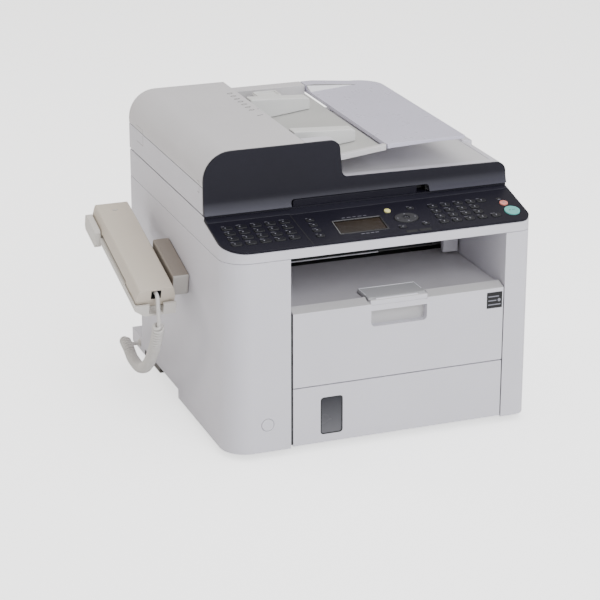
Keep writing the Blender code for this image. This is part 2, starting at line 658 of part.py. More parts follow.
def key_bank(name, centres, size, mat, frame):
    """Keys that stand up from one mat under the panel. Returns the outlines of the holes they need."""
    bank = block(name, *mat, (MAT_TOP - MAT_THICKNESS, MAT_TOP), KEY_BLACK, frame=frame)
    outlines = [key_outline(centre, size) for centre in centres]
    join(bank, pieces(name + "_caps", outlines, "Z", MAT_TOP - MAT_THICKNESS / 2, KEY_HEIGHT, frame=frame))
    wider = (size[0] + 2 * KEY_CLEARANCE, size[1] + 2 * KEY_CLEARANCE)
    return bank, [key_outline(centre, wider) for centre in centres]


def round_key(name, centre, radius, finish, frame, flange_depth=0.0034):
    """A round key held in by a flange under the panel. Returns the outline of the hole it needs."""
    button = prism(name, circle(*centre, radius), "Z", -flange_depth - 0.001, KEY_HEIGHT, finish, frame=frame)
    join(button, prism(name + "_flange", circle(*centre, radius + 0.0015), "Z", -flange_depth - 0.001,
                       -flange_depth, frame=frame))
    return circle(*centre, radius + KEY_CLEARANCE)


def control_panel(frame):
    """The thin sloping panel with its screen, and the keys that stand up through its holes."""
    panel_outline = rounded([(HALF_WIDTH, PANEL_LENGTH, 0), (-HALF_WIDTH, PANEL_LENGTH, 0),
                             (-HALF_WIDTH, 0.0, LEFT_CORNER_RADIUS), (HALF_WIDTH, 0.0, RIGHT_CORNER_RADIUS)])
    panel = prism("control_panel", panel_outline, "Z", -PANEL_THICKNESS, 0.0, CHARCOAL, frame=frame)
    holes = []
    banks = (
        ("one_touch_keys", ONE_TOUCH, ONE_TOUCH_SIZE, ((-0.184, -0.094), (0.013, 0.062))),
        ("function_keys", FUNCTION, FUNCTION_SIZE, ((-0.080, -0.065), (0.012, 0.058))),
        ("number_keys", NUMBER + NUMBER_EXTRA, NUMBER_SIZE, ((0.077, 0.160), (0.011, 0.058))),
        ("navigation_keys", SMALL_KEYS, SMALL_SIZE, ((0.0255, 0.067), (0.011, 0.047))),
    )
    for name, centres, size, mat in banks:
        bank, bank_holes = key_bank(name, centres, size, mat, frame)
        holes += bank_holes
    navigation = bank
    mat_bottom = MAT_TOP - MAT_THICKNESS
    join(navigation, block("navigation_arm", (0.051, 0.0615), (0.040, 0.058), (mat_bottom, MAT_TOP),
                           frame=frame))
    join(navigation, prism("navigation_ring", oval(NAVIGATION, *NAVIGATION_HALF), "Z",
                           mat_bottom + MAT_THICKNESS / 2, KEY_HEIGHT, frame=frame))
    ok_room = circle(*NAVIGATION, OK_RADIUS + 2 * GAP)
    cut(navigation, prism("ok_clearance", ok_room, "Z", -0.01, 0.01, frame=frame))
    holes.append(oval(NAVIGATION, NAVIGATION_HALF[0] + KEY_CLEARANCE, NAVIGATION_HALF[1] + KEY_CLEARANCE))
    round_key("ok_key", NAVIGATION, OK_RADIUS, KEY_BLACK, frame, flange_depth=0.0072)
    holes.append(round_key("energy_key", ENERGY, ENERGY_RADIUS, YELLOW, frame))
    holes.append(round_key("stop_button", STOP, STOP_RADIUS, RED, frame))
    holes.append(round_key("start_button", START, START_RADIUS, TEAL, frame))
    cut(panel, pieces("key_holes", holes, "Z", -0.01, 0.01, frame=frame))
    pocket_floor = -0.0022
    cut(panel, block("lcd_pocket", *LCD, (pocket_floor, 0.01), frame=frame))
    inset = 0.0004
    block("lcd_screen", (LCD[0][0] + inset, LCD[0][1] - inset), (LCD[1][0] + inset, LCD[1][1] - inset),
          (pocket_floor + GAP, -0.0006), AMBER, frame=frame)


# ---------------------------------------------------------------- lid

def hump_outline(left, bottom):
    """Front silhouette of the lid: the feeder hump with its two radii, then the low output floor."""
    return rounded([
        (left, bottom, 0), (left, HUMP_TOP, HUMP_RADIUS), (HUMP_RIGHT, HUMP_TOP, 0.012),
        (HUMP_RIGHT + 0.004, OUTPUT_FLOOR, 0.009), (HALF_WIDTH, OUTPUT_FLOOR_RIGHT, 0.012),
        (HALF_WIDTH, bottom, 0),
    ])


def lid_base(pivot):
    """Hollow lid: output floor on the right, feeder bed and cheeks on the left."""
    left = -HALF_WIDTH
    outline = rounded([
        (left, LID_BOTTOM, 0), (left, ADF_SEAM, 0), (HUMP_RIGHT, ADF_SEAM, 0),
        (HUMP_RIGHT + 0.004, OUTPUT_FLOOR, 0.003), (HALF_WIDTH, OUTPUT_FLOOR_RIGHT, 0.012),
        (HALF_WIDTH, LID_BOTTOM, 0),
    ])
    base = prism("lid_base", outline, "Y", LID_FRONT, BACK, CASING, origin=pivot.location)
    hang(base, pivot)
    inner = HALF_WIDTH - WALL
    cavity = (0.2885, 0.3070)
    cut(base, block("lid_cavity", (-inner, inner), (LID_FRONT + 0.013, BACK - WALL), cavity))
    cut(base, block("scan_slot", (-0.176, -0.152), (-0.062, GLASS_BACK), (0.28, 0.295)))
    pad_area = ((-0.128, 0.181), (-0.068, 0.158))
    cut(base, block("pad_recess", *pad_area, (0.28, 0.2872)))
    cut(base, block("finger_hold", (-0.084, 0.090), (-0.12, LID_FRONT + 0.010), (0.28, 0.293)))
    cheek = rounded([(ADF_RIGHT + 0.0005, ADF_SEAM - 0.002, 0), (ADF_RIGHT + 0.0005, HUMP_TOP, 0),
                     (HUMP_RIGHT, HUMP_TOP, 0.012), (HUMP_RIGHT + 0.0037, ADF_SEAM - 0.002, 0)])
    join(base, prism("front_cheek", cheek, "Y", LID_FRONT, -0.0912))
    bearing = rectangle(-0.150, -0.070, ADF_SEAM - 0.002, 0.348)
    join(base, prism("front_bearing", bearing, "Y", -0.0985, -0.0945))
    join(base, prism("rear_bearing", bearing, "Y", 0.1605, 0.1645))
    join(base, block("tray_post", (-0.020, 0.036), (0.176, BACK), (0.300, 0.3297)))
    bores = [circle(*axis, SHAFT_RADIUS + RUNNING_FIT) for axis in (FEED_AXIS, ADF_PICKUP_AXIS)]
    cut(base, pieces("feeder_bores", bores, "Y", -0.0990, 0.170))

    fascia = prism("lid_fascia", hump_outline(left, LID_BOTTOM - 0.0005), "Y",
                   FASCIA_FRONT, LID_FRONT - GAP, CHARCOAL)
    hang(fascia, pivot)
    notch = rounded([(-0.086, 0.27, 0), (0.092, 0.27, 0), (0.092, 0.293, 0.004), (-0.086, 0.293, 0.004)], 4)
    cut(fascia, prism("fascia_notch", notch, "Y", -0.12, -0.10))

    inset = 0.0004
    pad = block("platen_pad", (pad_area[0][0] + inset, pad_area[0][1] - inset),
                (pad_area[1][0] + inset, pad_area[1][1] - inset), (SCANNER_TOP + GAP, 0.2869), WHITE_PLASTIC)
    hang(pad, pivot)


def feeder_cover():
    """The curved cover over the feed rollers, hinged along its lower left edge, and the rollers."""
    bottom = ADF_SEAM + 0.001
    outer = [(-HALF_WIDTH, bottom, 0), (-HALF_WIDTH, HUMP_TOP, HUMP_RADIUS), (ADF_RIGHT, HUMP_TOP, 0),
             (ADF_RIGHT, 0.3525, 0)]
    lining = [(ADF_RIGHT - WALL, 0.3525, 0), (ADF_RIGHT - WALL, HUMP_TOP - WALL, 0),
              (-HALF_WIDTH + WALL, HUMP_TOP - WALL, HUMP_RADIUS - WALL), (-HALF_WIDTH + WALL, bottom, 0)]
    cover = prism("adf_cover", rounded(outer + lining), "Y", LID_FRONT, BACK, WARM_CASING, origin=ADF_HINGE)
    wall_outline = rounded([*outer[:3], (ADF_RIGHT, 0.3525, 0), (-0.100, 0.3525, 0), (-0.100, bottom, 0)])
    join(cover, prism("cover_back", wall_outline, "Y", BACK - WALL, BACK))
    hang(cover, empty("adf_cover_hinge", ADF_HINGE))
    shaft = (-0.0980, 0.1640)
    roller("adf_feed_roller", "Y", FEED_AXIS, 0.010, (-0.050, 0.120), shaft, RUBBER)
    roller("adf_pickup_roller", "Y", ADF_PICKUP_AXIS, 0.008, (0.010, 0.058), shaft, RUBBER)


def tray_height(x):
    """Height of the input tray's floor, which falls to the left, towards the rollers."""
    return TRAY_RIGHT_Z + (x - TRAY_RIGHT) * TRAY_SLOPE


def sloped(left, right, below, above):
    """Outline of a strip that follows the input tray's floor."""
    return [(left, tray_height(left) + below), (right, tray_height(right) + below),
            (right, tray_height(right) + above), (left, tray_height(left) + above)]


def input_tray():
    """The tray pages are fed from, with a rim at each end and the two guides that slide on it."""
    outside = -0.0208
    under_cover = ADF_RIGHT + 0.001
    tray = prism("input_tray", sloped(TRAY_LEFT, TRAY_RIGHT, -0.003, 0.0), "Y", TRAY_FRONT, BACK, WARM_CASING)
    heights = (0.30, 0.36)
    cut(tray, block("front_cheek_room", (TRAY_LEFT - 0.01, outside), (TRAY_FRONT - 0.01, -0.0900), heights))
    cut(tray, block("rear_bearing_room", (TRAY_LEFT - 0.01, under_cover), (0.158, BACK + 0.01), heights))
    rim_back = TRAY_FRONT + 0.007
    under_rim = sloped(TRAY_LEFT - 0.01, TRAY_RIGHT + 0.01, -0.006, -0.0005)
    cut(tray, prism("rim_underside", under_rim, "Y", TRAY_FRONT - 0.01, rim_back - 0.001))
    front_rim = sloped(outside, TRAY_RIGHT, -0.001, 0.0060)
    join(tray, prism("tray_front_rim", front_rim, "Y", TRAY_FRONT, rim_back))
    rear = [(under_cover, tray_height(under_cover) - 0.001), (TRAY_RIGHT, TRAY_RIGHT_Z - 0.001),
            (TRAY_RIGHT, RIM_TOP_Z), (under_cover, RIM_TOP_Z)]
    join(tray, prism("tray_rear_rim", rear, "Y", 0.172, BACK))

    clear = 0.0004
    left, right = -0.060, 0.020
    guide = rounded([(left, tray_height(left) + clear, 0), (right, tray_height(right) + clear, 0),
                     (right, 0.3530, 0.004), (left, 0.3575, 0)], 4)
    for name, y in (("front_guide", (-0.054, -0.035)), ("rear_guide", (0.103, 0.122))):
        prism(name, guide, "Y", *y, WARM_CASING, origin=(0.0, y[0], tray_height(0.0)))


def tray_extension():
    """Flip-over end of the input tray, hinged level with the tops of its rims."""
    left = EXTENSION_HINGE.x + 0.0005
    before, beyond = left - 0.01, EXTENSION_RIGHT + 0.01
    bottom, deck, thin_from = 0.3406, 0.3455, 0.100
    plan_outline = rounded([(left, BACK, 0), (left, TRAY_FRONT, 0), (EXTENSION_RIGHT, TRAY_FRONT, 0.008),
                            (EXTENSION_RIGHT, BACK, 0.034)])
    extension = prism("tray_extension", plan_outline, "Z", bottom, RIM_TOP_Z - 0.0002, LILAC,
                      origin=EXTENSION_HINGE)
    front_lip, back_lip = TRAY_FRONT + 0.004, 0.172
    cut(extension, block("extension_deck", (before, beyond), (front_lip, back_lip), (deck, 0.37)))
    low_rim = [(before, deck + 0.001), (beyond, deck + 0.0015), (beyond, 0.37), (before, 0.37)]
    cut(extension, prism("front_rim_slope", low_rim, "Y", TRAY_FRONT - 0.01, front_lip + 0.001))
    back_rim = [(left + 0.012, 0.3512), (EXTENSION_RIGHT - 0.035, deck), (beyond, deck), (beyond, 0.37),
                (left + 0.012, 0.37)]
    cut(extension, prism("back_rim_slope", back_rim, "Y", back_lip - 0.001, BACK + 0.01))
    underside = [(left, 0.33), (beyond, 0.33), (beyond, deck - 0.0025), (thin_from, deck - 0.0025),
                 (left, bottom)]
    cut(extension, prism("extension_underside", underside, "Y", TRAY_FRONT - 0.01, BACK + 0.01))
    hang(extension, empty("tray_extension_hinge", EXTENSION_HINGE))


# ---------------------------------------------------------------- handset

def handset_group():
    """Handset, cradle, hook switch and bracket, in the tilted frame: x across, y along, z off the top."""
    tilted = empty("handset_frame", HANDSET_PLACE, (HANDSET_TILT, 0.0, 0.0))
    half, length = HANDSET_HALF_WIDTH, HANDSET_HALF_LENGTH
    grip_under, cup_under = -0.018, -0.027
    profile = rounded([
        (-length, 0.0, 0.003), (length, 0.0, 0.004), (length, -0.020, 0), (length - 0.004, cup_under, 0),
        (0.058, cup_under, 0), (0.052, grip_under, 0), (-0.052, grip_under, 0), (-0.058, cup_under, 0),
        (-length + 0.004, cup_under, 0), (-length, -0.020, 0),
    ], 4)
    handset = prism("handset", profile, "X", -half, half, BEIGE, frame=tilted)
    cut(handset, block("handset_jack", (-0.0062, 0.0062), (-length - 0.01, -length + 0.012),
                       (-0.0145, -0.0035), frame=tilted))
    join(handset, block("cord_plug", (-0.0045, 0.0045), (-length + 0.0005, -length + 0.013),
                        (-0.0125, -0.0055), frame=tilted))

    well_floor = -0.029
    cradle_top, cradle_bottom = -0.0205, -0.036
    outline = rounded([(-half - 0.003, cradle_top, 0), (-half - 0.003, cradle_top - 0.006, 0.002),
                       (-half + 0.010, cradle_bottom, 0.006), (half + 0.0005, cradle_bottom, 0),
                       (half + 0.0005, cradle_top, 0)], 4)
    cradle = prism("handset_cradle", outline, "Y", -0.1035, 0.1005, WHITE_PLASTIC,
                   frame=tilted)
    for end, y in (("front", (-length - 0.0008, -0.0525)), ("rear", (0.0525, length + 0.0008))):
        cut(cradle, block(f"{end}_well", (-half - 0.0008, half + 0.01), y, (well_floor, 0.0), frame=tilted))
    cut(cradle, block("cord_notch", (-0.009, 0.009), (-0.12, -length + 0.006), (-0.0335, 0.0), frame=tilted))
    ear = rounded([(0.0485, -0.034, 0.004), (0.0995, -0.034, 0.006), (0.0995, -0.0125, 0.005),
                   (0.0560, -0.0125, 0.005)], 4)
    join(cradle, prism("rear_ear", ear, "X", -half - CRADLE_EAR_REACH, -half - 0.0012, frame=tilted))
    plunger = ((-0.003, 0.003), (0.073, 0.079))
    clear = 0.0004
    cut(cradle, block("plunger_hole", (plunger[0][0] - clear, plunger[0][1] + clear),
                      (plunger[1][0] - clear, plunger[1][1] + clear), (-0.0340, 0.0), frame=tilted))
    block("hook_switch", *plunger, (-0.0335, cup_under - 0.0004), BLACK_PLASTIC, frame=tilted)

    side = HANDSET_PLACE.x
    bracket_left = half + 0.0005 + GAP
    bracket_right = -HALF_WIDTH - GAP - side
    bracket = block("handset_bracket", (bracket_left, bracket_right), (-0.0834, 0.0019), (-0.025, 0.0031),
                    BEIGE, frame=tilted)
    foot_bottom = cradle_bottom - 0.005
    join(bracket, block("bracket_foot", (-0.010, bracket_right), (-0.045, -0.002),
                        (foot_bottom, cradle_bottom - GAP), frame=tilted))
    join(bracket, block("bracket_web", (bracket_left, bracket_right), (-0.045, -0.002), (foot_bottom, -0.024),
                        frame=tilted))


def coiled_cord():
    """The cord's outer shape: from the handset's jack down, round the bottom and back to the rear housing."""
    jack = Vector((0.0, -HANDSET_HALF_LENGTH - 0.0004, -0.009))
    turn = Matrix.Rotation(HANDSET_TILT, 3, "X")
    start = HANDSET_PLACE + turn @ jack
    straight = 0.0022
    way = [
        (start, straight),
        (start + turn @ Vector((0.0, -0.004, 0.0)), straight),
        (Vector((-0.2415, -0.0745, 0.158)), straight),
        (Vector((-0.2405, -0.0735, 0.144)), straight),
        (Vector((-0.2400, -0.0700, 0.138)), CORD_RADIUS),
        (Vector((-0.2380, -0.0500, 0.109)), CORD_RADIUS),
        (Vector((-0.2360, -0.0220, 0.079)), CORD_RADIUS),
        (Vector((-0.2330, 0.0137, 0.0525)), CORD_RADIUS),
        (Vector((-0.2310, 0.0500, 0.0380)), CORD_RADIUS),
        (Vector((-0.2290, 0.0860, 0.0350)), CORD_RADIUS),
        (Vector((-0.2275, 0.1100, 0.0400)), CORD_RADIUS),
        (Vector((-0.2260, 0.1330, 0.0432)), CORD_RADIUS),
        (Vector((-0.2240, 0.1420, 0.0420)), straight),
        (Vector((-0.2130, 0.1620, 0.0280)), straight),
        (Vector((-0.2030, 0.1760, 0.0190)), straight),
        (Vector((-HALF_WIDTH + 0.0010, 0.1790, 0.0180)), straight),
    ]
    sides = 10
    bm = bmesh.new()
    rings = []
    side_ways = Vector((1.0, 0.0, 0.0))
    for index, (centre, radius) in enumerate(way):
        before = way[max(index - 1, 0)][0]
        after = way[min(index + 1, len(way) - 1)][0]
        along = (after - before).normalized()
        side_ways = (side_ways - along * side_ways.dot(along)).normalized()
        up = along.cross(side_ways)
        ring = []
        for u, v in circle(0.0, 0.0, radius, sides):
            ring.append(bm.verts.new(centre + side_ways * u + up * v))
        rings.append(ring)
    for lower, upper in zip(rings, rings[1:]):
        for i in range(sides):
            j = (i + 1) % sides
            bm.faces.new((lower[i], lower[j], upper[j], upper[i]))
    bm.faces.new(rings[0])
    bm.faces.new(rings[-1])
    into_object("coiled_cord", bm, WHITE_PLASTIC)


def put_origin_under_the_middle():
    """Moves the finished machine so that its outline lies evenly round the origin, on the desk."""
    left = HANDSET_PLACE.x - HANDSET_HALF_WIDTH - CRADLE_EAR_REACH
    middle = Vector(((left + HALF_WIDTH) / 2, (FRONT - POWER_KEY_PROUD + REAR_HOUSING_BACK) / 2, 0.0))
    for thing in bpy.data.objects:
        if thing.parent is None:
            thing.location -= middle


def build():
    remove_everything()
    base_frame()
    left_cover()
    side_cover("right_side_cover", 1, BAY_RIGHT)
    power_button()
    rear_panels()
    upper_deck()
    feet()
    paper_cassette()
    front_door()
    toner_cover()
    laser_unit()
    toner_cartridge()
    fuser()
    paper_rollers()
    drive()
    electronics()
    slope_frame = empty("panel_frame", (0.0, FRONT, PANEL_FRONT_Z), (PANEL_SLOPE, 0.0, 0.0))
    scanner_unit(empty("scanner_hinge", (0.0, BACK, SEAM_Z)), slope_frame)
    control_panel(slope_frame)
    lid_base(empty("lid_hinge", (0.0, BACK, LID_BOTTOM)))
    feeder_cover()
    input_tray()
    tray_extension()
    handset_group()
    coiled_cord()
    put_origin_under_the_middle()


build()
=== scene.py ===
"""Looks, lights and camera for the laser fax machine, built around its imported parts.

Metres: X to the machine's right, Y to its back, Z up from the desk. Pieces are modelled round the middle of
the casing, and place_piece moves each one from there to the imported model's own origin.
"""

import json
import math

import bmesh
import bpy
import numpy as np
from mathutils import Matrix, Vector


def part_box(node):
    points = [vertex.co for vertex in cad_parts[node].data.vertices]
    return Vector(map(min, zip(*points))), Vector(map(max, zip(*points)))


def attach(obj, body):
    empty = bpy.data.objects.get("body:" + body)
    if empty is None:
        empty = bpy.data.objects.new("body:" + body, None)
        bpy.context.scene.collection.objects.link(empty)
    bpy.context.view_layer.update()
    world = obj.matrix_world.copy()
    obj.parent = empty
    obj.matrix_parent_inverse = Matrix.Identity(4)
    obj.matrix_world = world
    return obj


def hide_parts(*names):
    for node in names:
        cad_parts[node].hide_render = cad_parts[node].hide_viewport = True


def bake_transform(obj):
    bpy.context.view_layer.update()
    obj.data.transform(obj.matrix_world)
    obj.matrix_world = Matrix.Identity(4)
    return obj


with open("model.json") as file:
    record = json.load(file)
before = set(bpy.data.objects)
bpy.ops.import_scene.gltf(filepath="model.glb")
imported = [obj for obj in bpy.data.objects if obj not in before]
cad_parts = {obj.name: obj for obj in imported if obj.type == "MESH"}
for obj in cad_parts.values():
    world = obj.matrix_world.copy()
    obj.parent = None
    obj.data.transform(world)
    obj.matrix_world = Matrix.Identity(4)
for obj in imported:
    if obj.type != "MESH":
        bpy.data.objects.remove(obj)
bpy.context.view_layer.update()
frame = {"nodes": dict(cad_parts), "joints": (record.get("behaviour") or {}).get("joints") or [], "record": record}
record = frame["record"]
BODY_OF = {node: body for body, nodes in record["behaviour"]["bodies"].items() for node in nodes}
HANDSET_UP = next(joint["axis"] for joint in frame["joints"] if joint["name"] == "handset_lift")
SHARP = math.radians(30)

BAY_WALL = -0.0282            # front face of the wall behind the output bay
REAR_FACE = 0.1587            # outer face of the rear panel
VENT_PITCH, VENT_WIDTH = 0.007, 0.0025
LABEL_X, LABEL_Z = (0.1366, 0.157), (0.153, 0.1736)
KEY_TOP, KEY_ROOT = 0.0011, -0.004
KEY_GAP = 0.00035             # round each key, in the panel's openings
ROLL = 0.0005                 # rolled edge of a key
PRINT = 0.00006               # how far print stands off the panel
SIGN = 0.00004                # how far a sign stands off its key
FLARE = 0.018                 # height of the flared lower edge of the lid's front
SIGN_DEPTH = 0.0005           # how deep the feeder cover's signs are let in
COIL_RADIUS, COIL_PITCH, COIL_WIRE, LEAD_RADIUS = 0.0055, 0.0052, 0.0021, 0.0026
COIL_RAMP = 0.0022            # length over which the lead winds up into the coil

CAMERA_PLACE, CAMERA_TILT, CAMERA_TURN, LENS = (-0.9473, -2.444, 1.085), 69.7, -20.53, 131.8
LAMPS = (("key_front", (0.15, -2.4, 1.8), (1.6, 1.6), 47.0, (0.93, 0.96, 1.0)),
         ("overhead", (0.2, 0.1, 2.2), (2.0, 2.0), 26.0, (1.0, 1.0, 1.0)),
         ("fill_right", (2.0, -0.8, 1.0), (1.4, 1.4), 8.0, (0.96, 0.98, 1.0)),
         ("low_front", (0.7, -2.4, 0.5), (1.4, 0.8), 14.0, (0.93, 0.96, 1.0)),
         ("rear_left", (-1.9, 1.5, 1.0), (0.9, 0.9), 15.0, (1.0, 0.95, 0.9)))


def casing_origin():
    """The point on the desk under the middle of the casing."""
    left_low, left_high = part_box("left_side_cover")
    right_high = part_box("right_side_cover")[1]
    return Vector(((left_low.x + right_high.x) / 2, (left_low.y + left_high.y) / 2, 0.0))


CASING = casing_origin()
TO_ROW = Matrix.Translation(CASING)


def box(node):
    """A part's lowest and highest corners, seen from the middle of the casing."""
    low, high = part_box(node)
    return low - CASING, high - CASING


def part_mesh(node):
    """A part's mesh with its doubled vertices merged, moved to the middle of the casing."""
    bm = bmesh.new()
    bm.from_mesh(frame["nodes"][node].data)
    bmesh.ops.remove_doubles(bm, verts=bm.verts, dist=2e-6)
    bm.transform(TO_ROW.inverted())
    return bm


# ---------------------------------------------------------------- materials

class Graph:
    """A small helper that adds nodes to a material and links them."""

    def __init__(self, name):
        self.material = bpy.data.materials.new(name)
        self.material.use_nodes = True
        self.tree = self.material.node_tree
        self.surface = self.tree.nodes["Principled BSDF"]
        self.place = self.add("ShaderNodeTexCoord").outputs["Object"]

    def fill(self, socket, value):
        if isinstance(value, bpy.types.NodeSocket):
            self.tree.links.new(value, socket)
        else:
            socket.default_value = value

    def feed(self, node=None, **inputs):
        node = node or self.surface
        for name, value in inputs.items():
            self.fill(node.inputs[name.replace("_", " ")], value)
        return node

    def add(self, kind, **inputs):
        return self.feed(self.tree.nodes.new(kind), **inputs)

    def noise(self, scale, detail=2.0, roughness=0.5, place=None):
        return self.add("ShaderNodeTexNoise", Vector=place or self.place, Scale=scale, Detail=detail,
                        Roughness=roughness).outputs["Fac"]

    def stretched(self, x, y, z):
        return self.add("ShaderNodeMapping", Vector=self.place, Scale=(x, y, z)).outputs["Vector"]

    def remap(self, value, low, high, to_low, to_high):
        return self.add("ShaderNodeMapRange", Value=value, From_Min=low, From_Max=high, To_Min=to_low,
                        To_Max=to_high).outputs["Result"]

    def blotch(self, scale, detail, first, second):
        """A slow mix of two colours."""
        return self.mix(self.remap(self.noise(scale, detail), 0.3, 0.7, 0.0, 1.0), first, second)

    def mix(self, factor, first, second):
        node = self.tree.nodes.new("ShaderNodeMix")
        node.data_type = "RGBA"
        for index, value in ((0, factor), (6, first), (7, second)):
            self.fill(node.inputs[index], value)
        return node.outputs[2]

    def bump(self, height, strength):
        return self.add("ShaderNodeBump", Height=height, Strength=strength, Distance=0.0002).outputs["Normal"]

    def along(self, axis, start, end):
        """0 to 1 between two places on an axis."""
        place = self.add("ShaderNodeSeparateXYZ", Vector=self.place).outputs[axis]
        return self.remap(place, start, end, 0.0, 1.0)


def shade(colour, factor):
    return (*[min(1.0, c * factor) for c in colour], 1.0)


def plastic(name, colour, roughness=0.45, mottle=0.03, grain=0.12, grain_scale=1500.0, wear=0.05, dust=0.03,
            **surface):
    """Moulded plastic: soft mottling, spark-eroded grain, edges rubbed a little lighter, dust in the grain."""
    graph = Graph(name)
    fine = graph.noise(grain_scale, 2.0, 0.6)
    tone = graph.blotch(14.0, 4.0, shade(colour, 1 - mottle), shade(colour, 1 + mottle))
    specks = graph.remap(fine, 0.55, 0.75, 0.0, dust)
    tone = graph.mix(specks, tone, shade((0.75, 0.74, 0.72), 1.0))
    edges = graph.add("ShaderNodeNewGeometry").outputs["Pointiness"]
    tone = graph.mix(graph.remap(edges, 0.52, 0.62, 0.0, wear), tone, shade((0.9, 0.9, 0.9), 1.0))
    streaks = graph.noise(60.0, 3.0, 0.6, graph.stretched(1.0, 0.6, 1.4))
    graph.feed(Base_Color=tone, Roughness=graph.remap(streaks, 0.3, 0.7, roughness - 0.05, roughness + 0.06),
               Normal=graph.bump(fine, grain), **surface)
    return graph.material


def metal(name, colour, roughness=0.32, brushed=(1.0, 30.0, 30.0)):
    graph = Graph(name)
    lines = graph.noise(40.0, 5.0, 0.7, graph.stretched(*brushed))
    tone = graph.blotch(25.0, 3.0, shade(colour, 0.88), shade(colour, 1.06))
    graph.feed(Base_Color=tone, Metallic=1.0,
               Roughness=graph.remap(lines, 0.3, 0.7, roughness - 0.07, roughness + 0.1),
               Normal=graph.bump(lines, 0.1))
    return graph.material


def clear(name, colour, roughness, alpha):
    """See-through plastic or glass with faint smears."""
    graph = Graph(name)
    smear = graph.noise(30.0, 4.0, 0.6)
    tone = graph.mix(graph.remap(smear, 0.3, 0.7, 0.0, 1.0), shade(colour, 0.92), shade(colour, 1.08))
    graph.feed(Base_Color=tone, Roughness=graph.remap(smear, 0.3, 0.7, roughness, roughness + 0.08), Alpha=alpha,
               Normal=graph.bump(graph.noise(900.0), 0.02))
    graph.material.surface_render_method = "BLENDED"
    return graph.material


def circuit(name):
    """Solder-masked board with tracks."""
    graph = Graph(name)
    tracks = graph.add("ShaderNodeTexBrick", Vector=graph.place, Scale=140.0).outputs["Fac"]
    spread = graph.noise(60.0)
    tone = graph.mix(tracks, (0.012, 0.1, 0.035, 1.0), (0.03, 0.22, 0.08, 1.0))
    tone = graph.mix(graph.remap(spread, 0.6, 0.66, 0.0, 0.7), tone, (0.55, 0.45, 0.2, 1.0))
    graph.feed(Base_Color=tone, Roughness=graph.remap(spread, 0.3, 0.7, 0.35, 0.5),
               Normal=graph.bump(graph.noise(500.0), 0.2))
    return graph.material


def screen_look():
    """Liquid-crystal window: a brown-amber field that is a little brighter to the right, with a cell grid."""
    graph = Graph("screen_amber")
    low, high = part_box("lcd_screen")
    tone = graph.mix(graph.along("X", low.x, high.x), (0.017, 0.012, 0.009, 1.0), (0.026, 0.018, 0.011, 1.0))
    cells = graph.add("ShaderNodeTexChecker", Vector=graph.place, Scale=1400.0).outputs["Fac"]
    tone = graph.mix(graph.remap(cells, 0.0, 1.0, 0.0, 0.08), tone, (0.02, 0.015, 0.01, 1.0))
    graph.feed(Base_Color=tone, Roughness=graph.remap(graph.noise(30.0), 0.3, 0.7, 0.16, 0.26),
               Normal=graph.bump(graph.noise(800.0), 0.02), Specular_IOR_Level=0.25)
    return graph.material


def window_look():
    """Smoked window of the drawer, lighter towards its lower end where the paper shows through."""
    graph = Graph("smoked_window")
    low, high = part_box("cassette_window")
    tone = graph.mix(graph.along("Z", low.z, high.z), (0.115, 0.115, 0.125, 1.0), (0.022, 0.022, 0.028, 1.0))
    graph.feed(Base_Color=tone, Roughness=graph.remap(graph.noise(40.0), 0.3, 0.7, 0.18, 0.28),
               Normal=graph.bump(graph.noise(900.0), 0.02), Specular_IOR_Level=0.3)
    return graph.material


def fascia_look():
    """The dark front of the lid, with a painted highlight: its base colour lightens towards the flared lower edge."""
    graph = Graph("fascia_charcoal_painted_highlight")
    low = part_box("lid_fascia")[0].z
    spread = graph.noise(14.0, 4.0)
    tone = graph.mix(graph.remap(spread, 0.3, 0.7, 0.0, 1.0), (0.0095, 0.009, 0.0155, 1.0),
                     (0.0108, 0.0102, 0.0175, 1.0))
    # Painted highlight: the base colour turns lighter over the lowest 15 mm, along the flared lower edge.
    tone = graph.mix(graph.along("Z", low + 0.015, low + 0.001), tone, (0.05, 0.049, 0.066, 1.0))
    graph.feed(Base_Color=tone, Roughness=graph.remap(spread, 0.3, 0.7, 0.28, 0.34),
               Normal=graph.bump(graph.noise(2200.0, 2.0, 0.6), 0.06), Specular_IOR_Level=0.16)
    return graph.material


